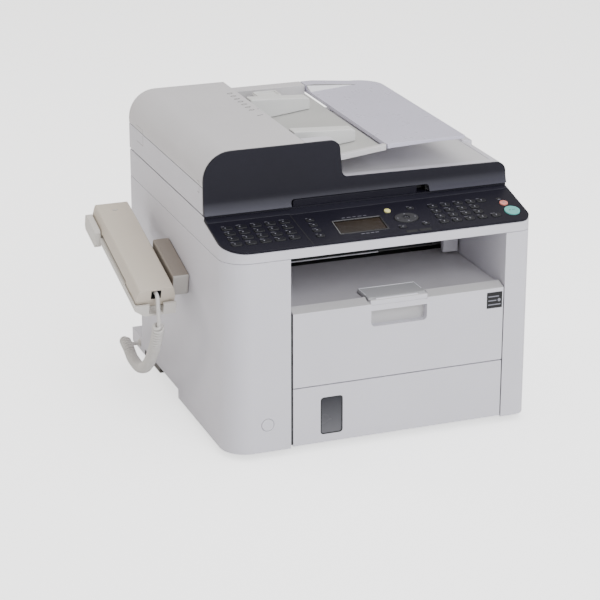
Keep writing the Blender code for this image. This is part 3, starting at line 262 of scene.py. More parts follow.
GREY = (0.615, 0.602, 0.655)
LOOK = {
    "casing": plastic("casing_grey", GREY, 0.46, 0.015, 0.1),
    # Darker copy of the casing grey: painted shade on the door's sloping top and in its grip pocket.
    "casing_painted_shade": plastic("casing_grey_painted_shade", (0.46, 0.45, 0.455), 0.5, 0.02, 0.12),
    "casing_warm": plastic("casing_warm_grey", (0.58, 0.563, 0.58), 0.46, 0.015, 0.12),
    "bay": plastic("bay_grey", (0.47, 0.455, 0.475), 0.5, 0.03, 0.15),
    "bay_back": plastic("bay_back_grey", (0.062, 0.06, 0.066), 0.5, 0.03, 0.15),
    "stopper": plastic("stopper_grey", (0.4, 0.4, 0.41), 0.48, 0.02, 0.12),
    # Darker grey for the input tray's recessed floor: painted shade.
    "tray_floor_painted_shade": plastic("tray_floor_painted_shade_grey", (0.46, 0.46, 0.445), 0.5, 0.03, 0.15),
    "guide": plastic("guide_white", (0.66, 0.66, 0.65), 0.42, 0.02, 0.08),
    "output_floor": plastic("output_floor_grey", (0.56, 0.55, 0.565), 0.5, 0.02, 0.18),
    "charcoal": plastic("panel_charcoal", (0.0095, 0.0088, 0.0155), 0.36, 0.06, 0.06, 2200.0, 0.0, 0.002,
                        Specular_IOR_Level=0.12),
    "charcoal_back": plastic("panel_back_strip", (0.0165, 0.016, 0.0245), 0.32, 0.06, 0.06, 2200.0, 0.0, 0.003,
                             Specular_IOR_Level=0.2),
    "key": plastic("key_rubber", (0.0065, 0.0065, 0.01), 0.36, 0.05, 0.08, 2600.0, 0.05, 0.01,
                   Specular_IOR_Level=0.25),
    "legend": plastic("legend_pale", (0.22, 0.22, 0.26), 0.5, 0.05, 0.05, 2600.0, 0.0, 0.0),
    "bezel": plastic("screen_bezel", (0.012, 0.012, 0.014), 0.25, 0.04, 0.05, 2200.0, 0.0, 0.0),
    # Lighter grey: painted highlight on the screen bezel's edges.
    "bezel_painted_highlight": plastic("screen_bezel_painted_highlight", (0.17, 0.17, 0.18), 0.25, 0.04, 0.05, 2200.0, 0.0, 0.0),
    "yellow": plastic("key_yellow", (0.66, 0.62, 0.24), 0.35, 0.04, 0.06),
    "red": plastic("key_red", (0.66, 0.22, 0.18), 0.35, 0.04, 0.06),
    "teal": plastic("key_teal", (0.12, 0.47, 0.43), 0.35, 0.04, 0.06),
    "beige": plastic("handset_beige", (0.565, 0.505, 0.425), 0.42, 0.02, 0.1),
    "taupe": plastic("bracket_taupe", (0.225, 0.19, 0.16), 0.5, 0.03, 0.12),
    # Pale taupe: the handset's crescent inlay, and painted light on the bracket's front faces.
    "taupe_inlay_and_painted_lit_front": plastic("bracket_inlay_and_painted_lit_front", (0.46, 0.44, 0.415), 0.5, 0.03, 0.12),
    "olive": plastic("slot_sensor_olive", (0.1, 0.1, 0.07), 0.5, 0.03, 0.12),
    "white": plastic("cradle_white", (0.6, 0.575, 0.54), 0.42, 0.015, 0.08),
    "pad": plastic("pad_white", (0.78, 0.78, 0.77), 0.7, 0.02, 0.25, 700.0),
    "black": plastic("chassis_black", (0.018, 0.018, 0.019), 0.52, 0.1, 0.2, 1200.0, 0.08, 0.05),
    # Near-black: the real colour of seams, the rating label, the window frame and the lamps, and painted shade in the
    # exit slot, socket wells, finger hold, jack and cover gap.
    "black_and_painted_shade": plastic("slot_black_and_painted_shade", (0.006, 0.006, 0.007), 0.7, 0.05, 0.05, 1200.0, 0.0, 0.0),
    "rubber": plastic("roller_rubber", (0.035, 0.035, 0.036), 0.85, 0.1, 0.5, 900.0, 0.04, 0.1),
    "foot": plastic("foot_rubber", (0.14, 0.135, 0.13), 0.8, 0.08, 0.4, 900.0, 0.03, 0.05),
    "gear": plastic("gear_white", (0.72, 0.71, 0.66), 0.45, 0.03, 0.08),
    "drum": plastic("drum_blue", (0.04, 0.24, 0.34), 0.18, 0.05, 0.02, 1500.0, 0.0, 0.0, Metallic=0.3),
    "steel": metal("plain_steel", (0.6, 0.6, 0.61)),
    "lilac": plastic("tray_lilac", (0.565, 0.545, 0.665), 0.3, 0.02, 0.04, 1500.0, 0.06, 0.0,
                     Transmission_Weight=0.05),
    # Near-white painted highlight: the stopper's rim, the bar at the exit slot and the lit wall at the extension's
    # rear left.
    "painted_highlight": plastic("painted_highlight_white", (0.82, 0.82, 0.86), 0.35, 0.02, 0.04, 1500.0, 0.0, 0.0),
    "smoked": window_look(),
    "glass": clear("platen_clear", (0.3, 0.38, 0.35), 0.04, 0.45),
    "board": circuit("board_green"),
    "cord": plastic("cord_white", (0.62, 0.6, 0.575), 0.4, 0.03, 0.05),
    "mark": plastic("embossed_mark", (0.07, 0.07, 0.07), 0.5, 0.05, 0.05, 1500.0, 0.0, 0.0),
    "seam": plastic("seam_grey", (0.26, 0.255, 0.25), 0.5, 0.05, 0.05, 1500.0, 0.0, 0.0),
    "screen": screen_look(),
    "fascia": fascia_look(),
}


# ---------------------------------------------------------------- meshes

def link(name, bm, matrix=None):
    """An object from a bmesh. Its vertices are moved by the matrix, so that the object stays at the origin."""
    bmesh.ops.recalc_face_normals(bm, faces=bm.faces)
    if matrix:
        bm.transform(matrix)
    mesh = bpy.data.meshes.new(name)
    bm.to_mesh(mesh)
    bm.free()
    solid = bpy.data.objects.new(name, mesh)
    bpy.context.scene.collection.objects.link(solid)
    return solid


def bake(solid):
    """Applies the object's modifiers."""
    mesh = bpy.data.meshes.new_from_object(solid.evaluated_get(bpy.context.evaluated_depsgraph_get()))
    solid.modifiers.clear()
    solid.data = mesh
    return solid


def carve(solid, operation, *guides):
    for guide in guides:
        modifier = solid.modifiers.new("carve", "BOOLEAN")
        modifier.operation = operation
        modifier.solver = "EXACT"
        modifier.object = guide
    bake(solid)
    for guide in guides:
        bpy.data.objects.remove(guide, do_unlink=True)
    return solid


def soften(solid, width, segments=2, angle=SHARP):
    """Rounds the edges, then shades the piece smooth with flat faces left flat."""
    if width > 0:
        bevel = solid.modifiers.new("edges", "BEVEL")
        bevel.width = width
        bevel.segments = segments
        bevel.limit_method = "ANGLE"
        bevel.angle_limit = angle
        bevel.miter_outer = "MITER_ARC"
        bevel.use_clamp_overlap = True
        bake(solid)
    solid.data.shade_smooth()
    solid.data.set_sharp_from_angle(angle=math.radians(50))
    weighted = solid.modifiers.new("normals", "WEIGHTED_NORMAL")
    weighted.keep_sharp = True
    bake(solid)
    return solid


def place_piece(solid, look, body, *nodes):
    """Moves a piece to the row's origin and gives it its material, its body and the parts it stands for."""
    solid.data.transform(TO_ROW)
    solid.data.materials.clear()
    solid.data.materials.append(LOOK[look])
    if body:
        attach(solid, body)
    if nodes:
        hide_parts(*nodes)
    return solid


def copy_of(node):
    """A clean copy of a part's mesh, with its facets merged into whole faces."""
    bm = part_mesh(node)
    bmesh.ops.dissolve_limit(bm, angle_limit=math.radians(0.6), verts=bm.verts, edges=bm.edges)
    return link(node + "_skin", bm)


def refine(node, look, width, segments=2, cuts=(), adds=()):
    """The part's own shape with rounded edges, after cutting and adding detail."""
    solid = copy_of(node)
    if cuts:
        carve(solid, "DIFFERENCE", *cuts)
    if adds:
        carve(solid, "UNION", *adds)
    soften(solid, width, segments)
    return place_piece(solid, look, BODY_OF[node], node)


def fit(solid, look, body, *nodes, width=0.0, segments=1):
    """Softens a piece and places it."""
    return place_piece(soften(solid, width, segments), look, body, *nodes)


def scored(solid, axis, places):
    """The solid with its faces split along planes across an axis."""
    bm = bmesh.new()
    bm.from_mesh(solid.data)
    normal = Vector(on_axis(axis, 0, 0, 1))
    for place in places:
        bmesh.ops.bisect_plane(bm, geom=[*bm.verts, *bm.edges, *bm.faces], plane_co=normal * place, plane_no=normal)
    bm.to_mesh(solid.data)
    bm.free()
    return solid


def tint(solid, look, chosen):
    """A second material on the faces whose centre and normal, seen from the casing, pass the test."""
    solid.data.materials.append(LOOK[look])
    for polygon in solid.data.polygons:
        if chosen(polygon.center - CASING, polygon.normal):
            polygon.material_index = 1
    return solid


def on_axis(axis, u, v, along):
    return {"X": (along, u, v), "Y": (u, along, v), "Z": (u, v, along)}[axis]


def skin(bm, rings):
    """Joins rings of vertices into a closed solid."""
    count = len(rings[0])
    for lower, upper in zip(rings, rings[1:]):
        for i in range(count):
            j = (i + 1) % count
            bm.faces.new((lower[i], lower[j], upper[j], upper[i]))
    bm.faces.new(rings[0])
    bm.faces.new(rings[-1])


def prism(name, outline, axis, low, high, matrix=None):
    bm = bmesh.new()
    bottom = [bm.verts.new(on_axis(axis, u, v, low)) for u, v in outline]
    grown = bmesh.ops.extrude_face_region(bm, geom=[bm.faces.new(bottom)])
    top = [item for item in grown["geom"] if isinstance(item, bmesh.types.BMVert)]
    bmesh.ops.translate(bm, verts=top, vec=Vector(on_axis(axis, 0, 0, high - low)))
    return link(name, bm, matrix)


def rectangle(low_u, high_u, low_v, high_v):
    return [(low_u, low_v), (high_u, low_v), (high_u, high_v), (low_u, high_v)]


def block(name, x, y, z, matrix=None):
    return prism(name, rectangle(*x, *y), "Z", *z, matrix)


def circle(u, v, radius, sides=48):
    turn = 2 * math.pi / sides
    return [(u + radius * math.cos(i * turn), v + radius * math.sin(i * turn)) for i in range(sides)]


def rounded(corners, steps=6):
    """An outline from (u, v, radius) corners, where each radius above zero becomes an arc."""
    outline = []
    count = len(corners)
    for index, (u, v, radius) in enumerate(corners):
        here = Vector((u, v))
        if radius == 0:
            outline.append((u, v))
            continue
        before = (Vector(corners[index - 1][:2]) - here).normalized()
        after = (Vector(corners[(index + 1) % count][:2]) - here).normalized()
        half_angle = before.angle(after) / 2
        centre = here + (before + after).normalized() * (radius / math.sin(half_angle))
        start = here + before * (radius / math.tan(half_angle)) - centre
        sweep = math.pi - 2 * half_angle
        turn = sweep if before.cross(after) < 0 else -sweep
        for step in range(steps + 1):
            angle = turn * step / steps
            cosine, sine = math.cos(angle), math.sin(angle)
            outline.append((centre.x + start.x * cosine - start.y * sine,
                            centre.y + start.x * sine + start.y * cosine))
    return outline


def soft_rectangle(low_u, high_u, low_v, high_v, radius, steps=5):
    return rounded([(u, v, radius) for u, v in rectangle(low_u, high_u, low_v, high_v)], steps)


def drawn_in(rect, margin, radius, steps=5):
    """A rounded rectangle, drawn in by a margin from (low u, high u, low v, high v)."""
    low_u, high_u, low_v, high_v = rect
    return soft_rectangle(low_u + margin, high_u - margin, low_v + margin, high_v - margin, radius, steps)


def turned(name, profile, axis, centre, sides=48):
    """A lathe piece from (along, radius) points, on an axis through the centre (u, v)."""
    bm = bmesh.new()
    skin(bm, [[bm.verts.new(on_axis(axis, u, v, along)) for u, v in circle(*centre, radius, sides)]
              for along, radius in profile])
    return link(name, bm)


def layered(bm, outlines):
    """Adds a solid from a stack of outlines with equal point counts, each given as (points, height)."""
    skin(bm, [[bm.verts.new((u, v, height)) for u, v in outline] for outline, height in outlines])


def ring_mark(bm, outer, inner, low, high):
    """A flat ring between two outlines with equal point counts."""
    loops = [[bm.verts.new((u, v, height)) for u, v in outline]
             for outline, height in ((outer, low), (outer, high), (inner, high), (inner, low))]
    count = len(outer)
    for first, second in zip(loops, loops[1:] + loops[:1]):
        for i in range(count):
            j = (i + 1) % count
            bm.faces.new((first[i], first[j], second[j], second[i]))


def joined(name, solids):
    """One object from several that don't touch."""
    bm = bmesh.new()
    for solid in solids:
        bm.from_mesh(solid.data)
        bpy.data.objects.remove(solid, do_unlink=True)
    return link(name, bm)


def local_box(node, matrix):
    """A part's extent in a turned frame."""
    inverse = matrix.inverted()
    points = np.array([inverse @ (v.co - CASING) for v in frame["nodes"][node].data.vertices])
    return Vector(points.min(0)), Vector(points.max(0))


def frame_from(up):
    """A turned frame with its X along X and its Z along up."""
    z = Vector(up).normalized()
    x = Vector((1.0, 0.0, 0.0))
    return Matrix((x, z.cross(x), z)).transposed().to_4x4()


def upright(y):
    """A frame whose XY plane stands at y and faces the front."""
    return Matrix.Translation((0.0, y, 0.0)) @ Matrix.Rotation(math.pi / 2, 4, "X")


def patches(node, matrix):
    """The (low u, high u, low v, high v) of each highest face of a part in a turned frame."""
    bm = part_mesh(node)
    bm.transform(matrix.inverted())
    top = max(v.co.z for v in bm.verts)
    level = {f for f in bm.faces if all(top - v.co.z < 0.0001 for v in f.verts)}
    found = []
    while level:
        todo = [level.pop()]
        corners = []
        while todo:
            face = todo.pop()
            corners += [v.co.copy() for v in face.verts]
            for edge in face.edges:
                for other in edge.link_faces:
                    if other in level:
                        level.remove(other)
                        todo.append(other)
        us = [c.x for c in corners]
        vs = [c.y for c in corners]
        found.append((min(us), max(us), min(vs), max(vs)))
    bm.free()
    return sorted(found, key=lambda b: (round(b[2], 3), round(b[0], 3)))


# ---------------------------------------------------------------- base

def base():
    refine("left_side_cover", "casing", 0.001, 2)
    side = box("right_side_cover")[1].x
    vents = [block("vent", (side - 0.01, side + 0.01), (y, y + VENT_WIDTH), heights)
             for start, count, heights in ((0.03, 12, (0.12, 0.175)), (-0.09, 9, (0.04, 0.07)))
             for y in (start + VENT_PITCH * i for i in range(count))]
    refine("right_side_cover", "casing", 0.001, 2, cuts=(joined("vents", vents),))
    sockets()
    for node in ("rear_panel", "rear_cover"):
        refine(node, "casing", 0.0006)
    housing_front = box("rear_panel")[0].y + 0.0008
    base_skin = scored(copy_of("base_frame"), "Y", [housing_front])
    fit(base_skin, "black", "machine", "base_frame", width=0.0005)
    tint(base_skin, "casing", lambda centre, normal: centre.y > housing_front)
    tint(refine("upper_deck", "black", 0.0004, 1), "bay_back",
         lambda centre, normal: normal.y < -0.7 and -0.035 < centre.y < -0.02)
    for node in ("foot_front_left", "foot_front_right", "foot_rear_left", "foot_rear_right"):
        refine(node, "foot", 0.0015, 2)
    low, high = box("power_button")
    centre = ((low.x + high.x) / 2, (low.z + high.z) / 2)
    radius = 0.0075
    key = turned("power_key_cap", [(high.y, radius + 0.0018), (low.y + 0.0032, radius + 0.0018),
                                   (low.y + 0.0031, radius), (low.y + 0.0006, radius),
                                   (low.y + 0.0001, radius - 0.0006), (low.y + 0.0002, radius * 0.5),
                                   (low.y + 0.0004, 0.0001)], "Y", centre)
    fit(key, "casing", "power_key", "power_button")
    gland = turned("cord_gland", [(-0.1915, 0.0052), (-0.1932, 0.005), (-0.1946, 0.0036)], "X", (0.179, 0.018), 24)
    fit(gland, "white", "machine")
    seams = [block("seam", span, (-0.1918, -0.1888), (0.012, 0.178))
             for span in ((-0.1153, -0.113), (0.1587, 0.1598))]
    fit(joined("front_seams", seams), "black_and_painted_shade", "machine")
    # Paper exit slot: a white bar as a painted highlight along its edge, a black band as painted shade in the slot,
    # and an olive sensor.
    for name, look, span, front, heights in (
            ("slot_highlight_bar", "painted_highlight", (-0.112, 0.062), -0.0308, (0.1822, 0.1834)),
            ("slot_shade_band", "black_and_painted_shade", (-0.1145, 0.1362), -0.029, (0.1836, 0.1905)),
            ("slot_sensor", "olive", (-0.112, -0.105), -0.031, (0.1766, 0.1816))):
        fit(block(name, span, (front, BAY_WALL), heights), look, "machine", width=0.0003)


def sockets():
    """Mains inlet and line sockets low on the rear panel."""
    turn = upright(REAR_FACE) @ Matrix.Scale(-1, 4, (0, 0, 1))
    frames, wells = [], []
    for x, z, half_u, half_v in ((-0.16, 0.062, 0.0145, 0.011), (-0.168, 0.106, 0.0075, 0.007),
                                 (-0.168, 0.128, 0.0075, 0.007), (-0.145, 0.106, 0.0075, 0.007)):
        rect = (x - half_u, x + half_u, z - half_v, z + half_v)
        bm = bmesh.new()
        ring_mark(bm, drawn_in(rect, 0.0, 0.0015, 4), drawn_in(rect, 0.0018, 0.0008, 4), -0.001, 0.0018)
        frames.append(link("socket_frame", bm, turn))
        # Painted shade: each socket's well is a near-black plate.
        wells.append(prism("socket_well", drawn_in(rect, 0.0017, 0.0), "Y", REAR_FACE - 0.0005, REAR_FACE + 0.0004))
    fit(joined("socket_frames", frames), "black", "machine", width=0.0003, segments=2)
    fit(joined("socket_wells", wells), "black_and_painted_shade", "machine")
    pins = [block("pin", (x - 0.001, x + 0.001), (REAR_FACE, REAR_FACE + 0.0016), (z - 0.0028, z + 0.0028))
            for x, z in ((-0.1665, 0.0605), (-0.16, 0.0635), (-0.1535, 0.0605))]
    fit(joined("inlet_pins", pins), "steel", "machine", width=0.0003)


def front():
    low, high = box("front_door")
    lip = prism("grip_lip", [(low.y + 0.001, 0.176), (low.y + 0.0055, 0.176), (low.y + 0.0055, 0.1802),
                             (low.y + 0.0044, 0.1831), (low.y + 0.0018, 0.1834), (low.y + 0.001, 0.1824)],
                "X", -0.0145, 0.0585)
    door = refine("front_door", "casing", 0.0009, 2, adds=(lip,))
    # Painted shade: the door's sloping top faces and the back of the grip pocket get the darker copy of the casing
    # grey.
    tint(door, "casing_painted_shade", lambda centre, normal: normal.z > 0.3 and normal.y < -0.2
         or abs(centre.x - 0.022) < 0.034 and 0.15 < centre.z < 0.172 and centre.y > low.y + 0.006)
    strip = block("grip_strip", (-0.0075, 0.0465), (low.y + 0.0016, low.y + 0.0038), (0.183, 0.1848))
    fit(strip, "casing", "door", width=0.0005, segments=2)
    refine("paper_stopper", "stopper", 0.0008, 2)
    low, high = box("paper_stopper")
    # Painted highlight: thin raised rims along the stopper's sides and rear edge, in near-white, stand for light
    # caught on its edges.
    rims = [block("rim", x, (start, high.y - 0.0006), (high.z - 0.0008, high.z + 0.0003)) for x, start in (
        ((low.x + 0.0006, low.x + 0.0017), low.y + 0.012), ((high.x - 0.0017, high.x - 0.0006), low.y + 0.012),
        ((low.x + 0.0006, high.x - 0.0006), high.y - 0.0018))]
    fit(joined("stopper_highlight_rim", rims), "painted_highlight", "stopper", width=0.0003)
    refine("toner_cover", "bay", 0.0006, 2)
    face = box("front_door")[0].y
    label = prism("rating_label", soft_rectangle(*LABEL_X, *LABEL_Z, 0.0006), "Y", face - 0.0001, face + 0.0004)
    fit(label, "black_and_painted_shade", "door")
    signs = []
    for index, (start, end) in enumerate(((0.1, 0.9), (0.1, 0.62), (0.1, 0.78))):
        z = LABEL_Z[0] + 0.004 + 0.0052 * index
        x = [LABEL_X[0] + (LABEL_X[1] - LABEL_X[0]) * share for share in (start, end)]
        signs.append(rectangle(*x, z, z + 0.0012))
    signs.append(circle(LABEL_X[1] - 0.004, LABEL_Z[0] + 0.01, 0.002, 24))
    signs = [prism("sign", outline, "Y", face - 0.00018, face + 0.0002) for outline in signs]
    fit(joined("label_signs", signs), "legend", "door")

    refine("paper_cassette", "casing", 0.0009, 2)
    refine("cassette_window", "smoked", 0.0005, 2)
    refine("cassette_lift_plate", "steel", 0.0002, 1)
    low, high = box("cassette_window")
    rect = (low.x, high.x, low.z, high.z)
    rim = bmesh.new()
    ring_mark(rim, drawn_in(rect, -0.0003, 0.0038), drawn_in(rect, 0.0011, 0.003), -0.0004, 0.0)
    fit(link("window_frame", rim, upright(low.y - 0.0001)), "black_and_painted_shade", "cassette")
    sheets = block("window_paper", (low.x - 0.004, high.x + 0.004), (high.y + 0.01, high.y + 0.0115),
                   (low.z - 0.003, low.z + 0.03))
    fit(sheets, "pad", "cassette", width=0.0002)


def engine():
    for node, look, width in (("laser_unit", "black", 0.0008), ("toner_cartridge", "black", 0.0008),
                              ("fuser_housing", "black", 0.0006), ("drive_gear", "gear", 0.00015),
                              ("motor_pinion", "steel", 0.0001), ("drive_motor", "steel", 0.0004),
                              ("main_board", "board", 0.0002), ("power_supply", "steel", 0.0004)):
        refine(node, look, width, 1)
    for node, look, axis in (("drum", "drum", "X"), ("fixing_roller", "steel", "X"),
                             ("pressure_roller", "rubber", "X"), ("pickup_roller", "rubber", "X"),
                             ("exit_roller", "rubber", "X"), ("adf_feed_roller", "rubber", "Y"),
                             ("adf_pickup_roller", "rubber", "Y")):
        roller(node, look, axis)


def roller(node, look, axis):
    """A smooth turned roller with a chamfered sleeve, its sizes read from the part."""
    points = np.array([(v.co - CASING)[:] for v in frame["nodes"][node].data.vertices])
    along = 0 if axis == "X" else 1
    others = [1, 2] if axis == "X" else [0, 2]
    centre = [(points[:, i].min() + points[:, i].max()) / 2 for i in others]
    distance = np.hypot(points[:, others[0]] - centre[0], points[:, others[1]] - centre[1])
    radius = distance.max()
    shaft = distance.min()
    wide = points[distance > radius * 0.97][:, along]
    low, high = points[:, along].min(), points[:, along].max()
    chamfer = 0.0005
    profile = [(low, shaft - chamfer), (low + chamfer, shaft), (wide.min(), shaft),
               (wide.min() + 0.00005, radius - chamfer), (wide.min() + chamfer, radius),
               (wide.max() - chamfer, radius), (wide.max() - 0.00005, radius - chamfer), (wide.max(), shaft),
               (high - chamfer, shaft), (high, shaft - chamfer)]
    solid = turned(node + "_turned", profile, axis, centre)
    fit(solid, look, BODY_OF[node], node)


# ---------------------------------------------------------------- scanner and panel

def panel_frame():
    """The sloping panel's frame: origin at the middle of its front edge, X right, Y up the slope, Z off it."""
    panel = frame["nodes"]["control_panel"].data
    biggest = max((p for p in panel.polygons if p.normal.z > 0.8), key=lambda p: p.area)
    matrix = frame_from(biggest.normal)
    low, high = local_box("control_panel", matrix)
    return matrix @ Matrix.Translation((0.0, low.y, high.z))


def key_cap(bm, rect, radius):
    """One key with a rounded plan, a rolled edge and a faint dish in its top."""
    limit = min(rect[1] - rect[0], rect[3] - rect[2]) / 2 - 0.0003

    def ring(margin):
        return drawn_in(rect, margin, max(min(radius, limit) - margin, 0.0002))

    layered(bm, [(ring(0.0), KEY_ROOT), (ring(0.0), KEY_TOP - ROLL), (ring(ROLL * 0.3), KEY_TOP - ROLL * 0.3),
                 (ring(ROLL), KEY_TOP), (ring(ROLL * 2.2), KEY_TOP - 0.00012)])


def round_cap(bm, centre, radius, top):
    """A round key with a rolled edge and a faint dome."""
    outlines = [(radius, KEY_ROOT), (radius, top - ROLL), (radius - ROLL * 0.3, top - ROLL * 0.3),
                (radius - ROLL, top), (radius * 0.6, top + 0.00021), (radius * 0.2, top + 0.0003)]
    layered(bm, [(circle(*centre, r, 40), height) for r, height in outlines])


def plate(bm, outline, low, high):
    layered(bm, [(outline, low), (outline, high)])


def legend_bar(bm, u, v, width, height, top):
    plate(bm, rectangle(u - width / 2, u + width / 2, v - height / 2, v + height / 2), top - 0.0002, top)


def swung(outline, angle, u, v):
    """An outline turned about the origin, then moved to (u, v)."""
    cosine, sine = math.cos(angle), math.sin(angle)
    return [(u + x * cosine - y * sine, v + x * sine + y * cosine) for x, y in outline]


def arrow(bm, u, v, size, quarters, top):
    """A small triangle that points right, then up, left or down after as many quarter turns."""
    outline = [(size, 0.0), (-size * 0.7, size), (-size * 0.7, -size)]
    plate(bm, swung(outline, quarters * math.pi / 2, u, v), top - 0.0002, top)


def panel():
    matrix = panel_frame()
    low, high = local_box("control_panel", matrix)
    half, length, thick = high.x, high.y, -low.z
    outline = rounded([(half, length, 0), (-half, length, 0), (-half, 0.0, 0.032), (half, 0.0, 0.016)], 16)
    slab = prism("panel_slab", outline, "Z", -thick, 0.0, matrix)

    holes = []

    def hole(shape, bottom=-0.01):
        holes.append(prism("hole", shape, "Z", bottom, 0.01, matrix))

    keys = {}
    for node, corner in (("one_touch_keys", 0.003), ("function_keys", 0.0024), ("number_keys", 0.003)):
        keys[node] = [(rect, corner) for rect in patches(node, matrix)]
    nav = patches("navigation_keys", matrix)
    ring = max(nav, key=lambda b: b[1] - b[0])
    keys["navigation_keys"] = [(rect, 0.0022) for rect in nav if rect[1] - rect[0] < 0.012]
    for rects in keys.values():
        for rect, corner in rects:
            hole(drawn_in(rect, -KEY_GAP, corner + KEY_GAP))
    rounds = {}
    for node in ("ok_key", "energy_key", "stop_button", "start_button"):
        (a, b, c, d), = patches(node, matrix)
        rounds[node] = ((a + b) / 2, (c + d) / 2, (b - a) / 2)
        if node != "ok_key":
            hole(circle(*rounds[node][:2], rounds[node][2] + KEY_GAP))
    middle = ((ring[0] + ring[1]) / 2, (ring[2] + ring[3]) / 2)
    half_u, half_v = (ring[1] - ring[0]) / 2, (ring[3] - ring[2]) / 2

    def oval(scale_u, scale_v):
        return [(middle[0] + u * scale_u, middle[1] + v * scale_v) for u, v in circle(0, 0, 1, 64)]

    hole(oval(half_u + KEY_GAP, half_v + KEY_GAP))
    pane = patches("lcd_screen", matrix)[0]
    hole(drawn_in(pane, -0.0004, 0.0012), -0.0022)
    carve(slab, "DIFFERENCE", joined("panel_holes", holes))
    soften(slab, 0.00045, 2, math.radians(40))
    place_piece(slab, "charcoal", "scanner", "control_panel")

    for node, rects in keys.items():
        bm = bmesh.new()
        for rect, corner in rects:
            key_cap(bm, rect, corner)
        if node == "navigation_keys":
            layered(bm, [(oval(half_u, half_v), KEY_ROOT), (oval(half_u, half_v), KEY_TOP - 0.0006),
                         (oval(half_u - 0.0006, half_v - 0.0006), KEY_TOP)])
        mat_low, mat_high = local_box(node, matrix)
        mats = [rectangle(mat_low.x, mat_high.x, mat_low.y, mat_high.y)]
        if node == "navigation_keys":
            mats = [rectangle(mat_low.x, mat_high.x, mat_low.y, 0.047), rectangle(0.051, 0.0615, 0.0468, 0.058)]
        for outline in mats:
            plate(bm, outline, mat_low.z, mat_low.z + 0.0008)
        fit(link(node + "_caps", bm, matrix), "key", BODY_OF[node], node)
    for node, look in (("ok_key", "key"), ("energy_key", "yellow"), ("stop_button", "red"), ("start_button", "teal")):
        u, v, size = rounds[node]
        bm = bmesh.new()
        round_cap(bm, (u, v), size, KEY_TOP + (0.0004 if node == "ok_key" else 0.0002))
        fit(link(node + "_cap", bm, matrix), look, BODY_OF[node], node)

    marks(matrix, keys, rounds, middle)
    screen(matrix, pane)
    panel_lines(matrix, half, length)


SIGN_PLANS = {"number_keys": (0.0, 0.0, 0.0012, 0.0022), "one_touch_keys": (-0.0022, 0.0003, 0.0012, 0.0015),
              "other": (0.0, 0.0, 0.0022, 0.0009)}


def marks(matrix, keys, rounds, middle):
    """Generic signs: a short bar over each key, a sign on it, arrows on the ring, and bars on round keys."""
    printed = bmesh.new()
    signs = {node: bmesh.new() for node in keys}
    for node, rects in keys.items():
        for index, ((a, b, c, d), _) in enumerate(rects):
            u, v = (a + b) / 2, (c + d) / 2
            width = (b - a) * (0.3 + 0.1 * ((index * 5) % 3))
            legend_bar(printed, a + width / 2 + 0.0006, d + 0.0014, width, 0.0005, PRINT)
            du, dv, *size = SIGN_PLANS.get(node, SIGN_PLANS["other"])
            legend_bar(signs[node], u + du, v + dv, *size, KEY_TOP + SIGN)
    for quarters, du, dv in ((1, 0, 0.0078), (3, 0, -0.0078), (2, -0.0112, 0), (0, 0.0112, 0)):
        arrow(signs["navigation_keys"], middle[0] + du, middle[1] + dv, 0.001, quarters, KEY_TOP + SIGN)
    for node, bm in signs.items():
        fit(link(node + "_signs", bm, matrix), "legend", BODY_OF[node])
    u, v, size = rounds["stop_button"]
    legend_bar(printed, u - 0.0015, v + size + 0.0045, 0.004, 0.0008, PRINT)
    fit(link("panel_printing", printed, matrix), "legend", "scanner")
    for node in ("start_button", "stop_button", "ok_key"):
        u, v, size = rounds[node]
        bm = bmesh.new()
        height = KEY_TOP + (0.0007 if node == "ok_key" else 0.00055)
        if node == "start_button":
            arrow(bm, u - 0.003, v, 0.0013, 0, height)
            legend_bar(bm, u + 0.0018, v, 0.004, 0.0008, height)
        elif node == "stop_button":
            legend_bar(bm, u, v, 0.0022, 0.0022, height)
        else:
            legend_bar(bm, u, v, 0.003, 0.0009, height)
        look = "mark" if node == "start_button" else "legend"
        fit(link(node + "_sign", bm, matrix), look, BODY_OF[node])


def screen(matrix, rect):
    """The screen and its bezel, which is a thin raised frame with a chamfered inner edge."""
    a, b, c, d = rect
    pane = prism("lcd_pane", soft_rectangle(*rect, 0.001), "Z", -0.0019, -0.0007, matrix)
    fit(pane, "screen", "scanner", "lcd_screen", width=0.0002)
    bezel = prism("screen_bezel", drawn_in(rect, -0.0016, 0.0022), "Z", -0.0004, 0.0005, matrix)
    carve(bezel, "DIFFERENCE", prism("cutter", drawn_in(rect, 0.0008, 0.001), "Z", -0.01, 0.01, matrix))
    fit(bezel, "bezel", "scanner", width=0.0003, segments=2)
    # Painted highlight: lighter grey plates along the bezel's left and top edges.
    edges = bmesh.new()
    plate(edges, rectangle(a - 0.0008, a - 0.0001, c, d), 0.00045, 0.00062)
    plate(edges, rectangle(a, b, d + 0.0001, d + 0.0008), 0.00045, 0.00062)
    fit(link("bezel_highlight", edges, matrix), "bezel_painted_highlight", "scanner")
    printed = bmesh.new()
    u = (a + b) / 2 - 0.014
    for index in range(5):
        legend_bar(printed, u + 0.0068 * index, d + 0.0058, 0.0038 + 0.001 * (index % 2), 0.0006, PRINT)
    for index in range(4):
        legend_bar(printed, u + 0.01 + 0.006 * index, c - 0.0048, 0.0042, 0.0007, PRINT)
    fit(link("screen_printing", printed, matrix), "legend", "scanner")


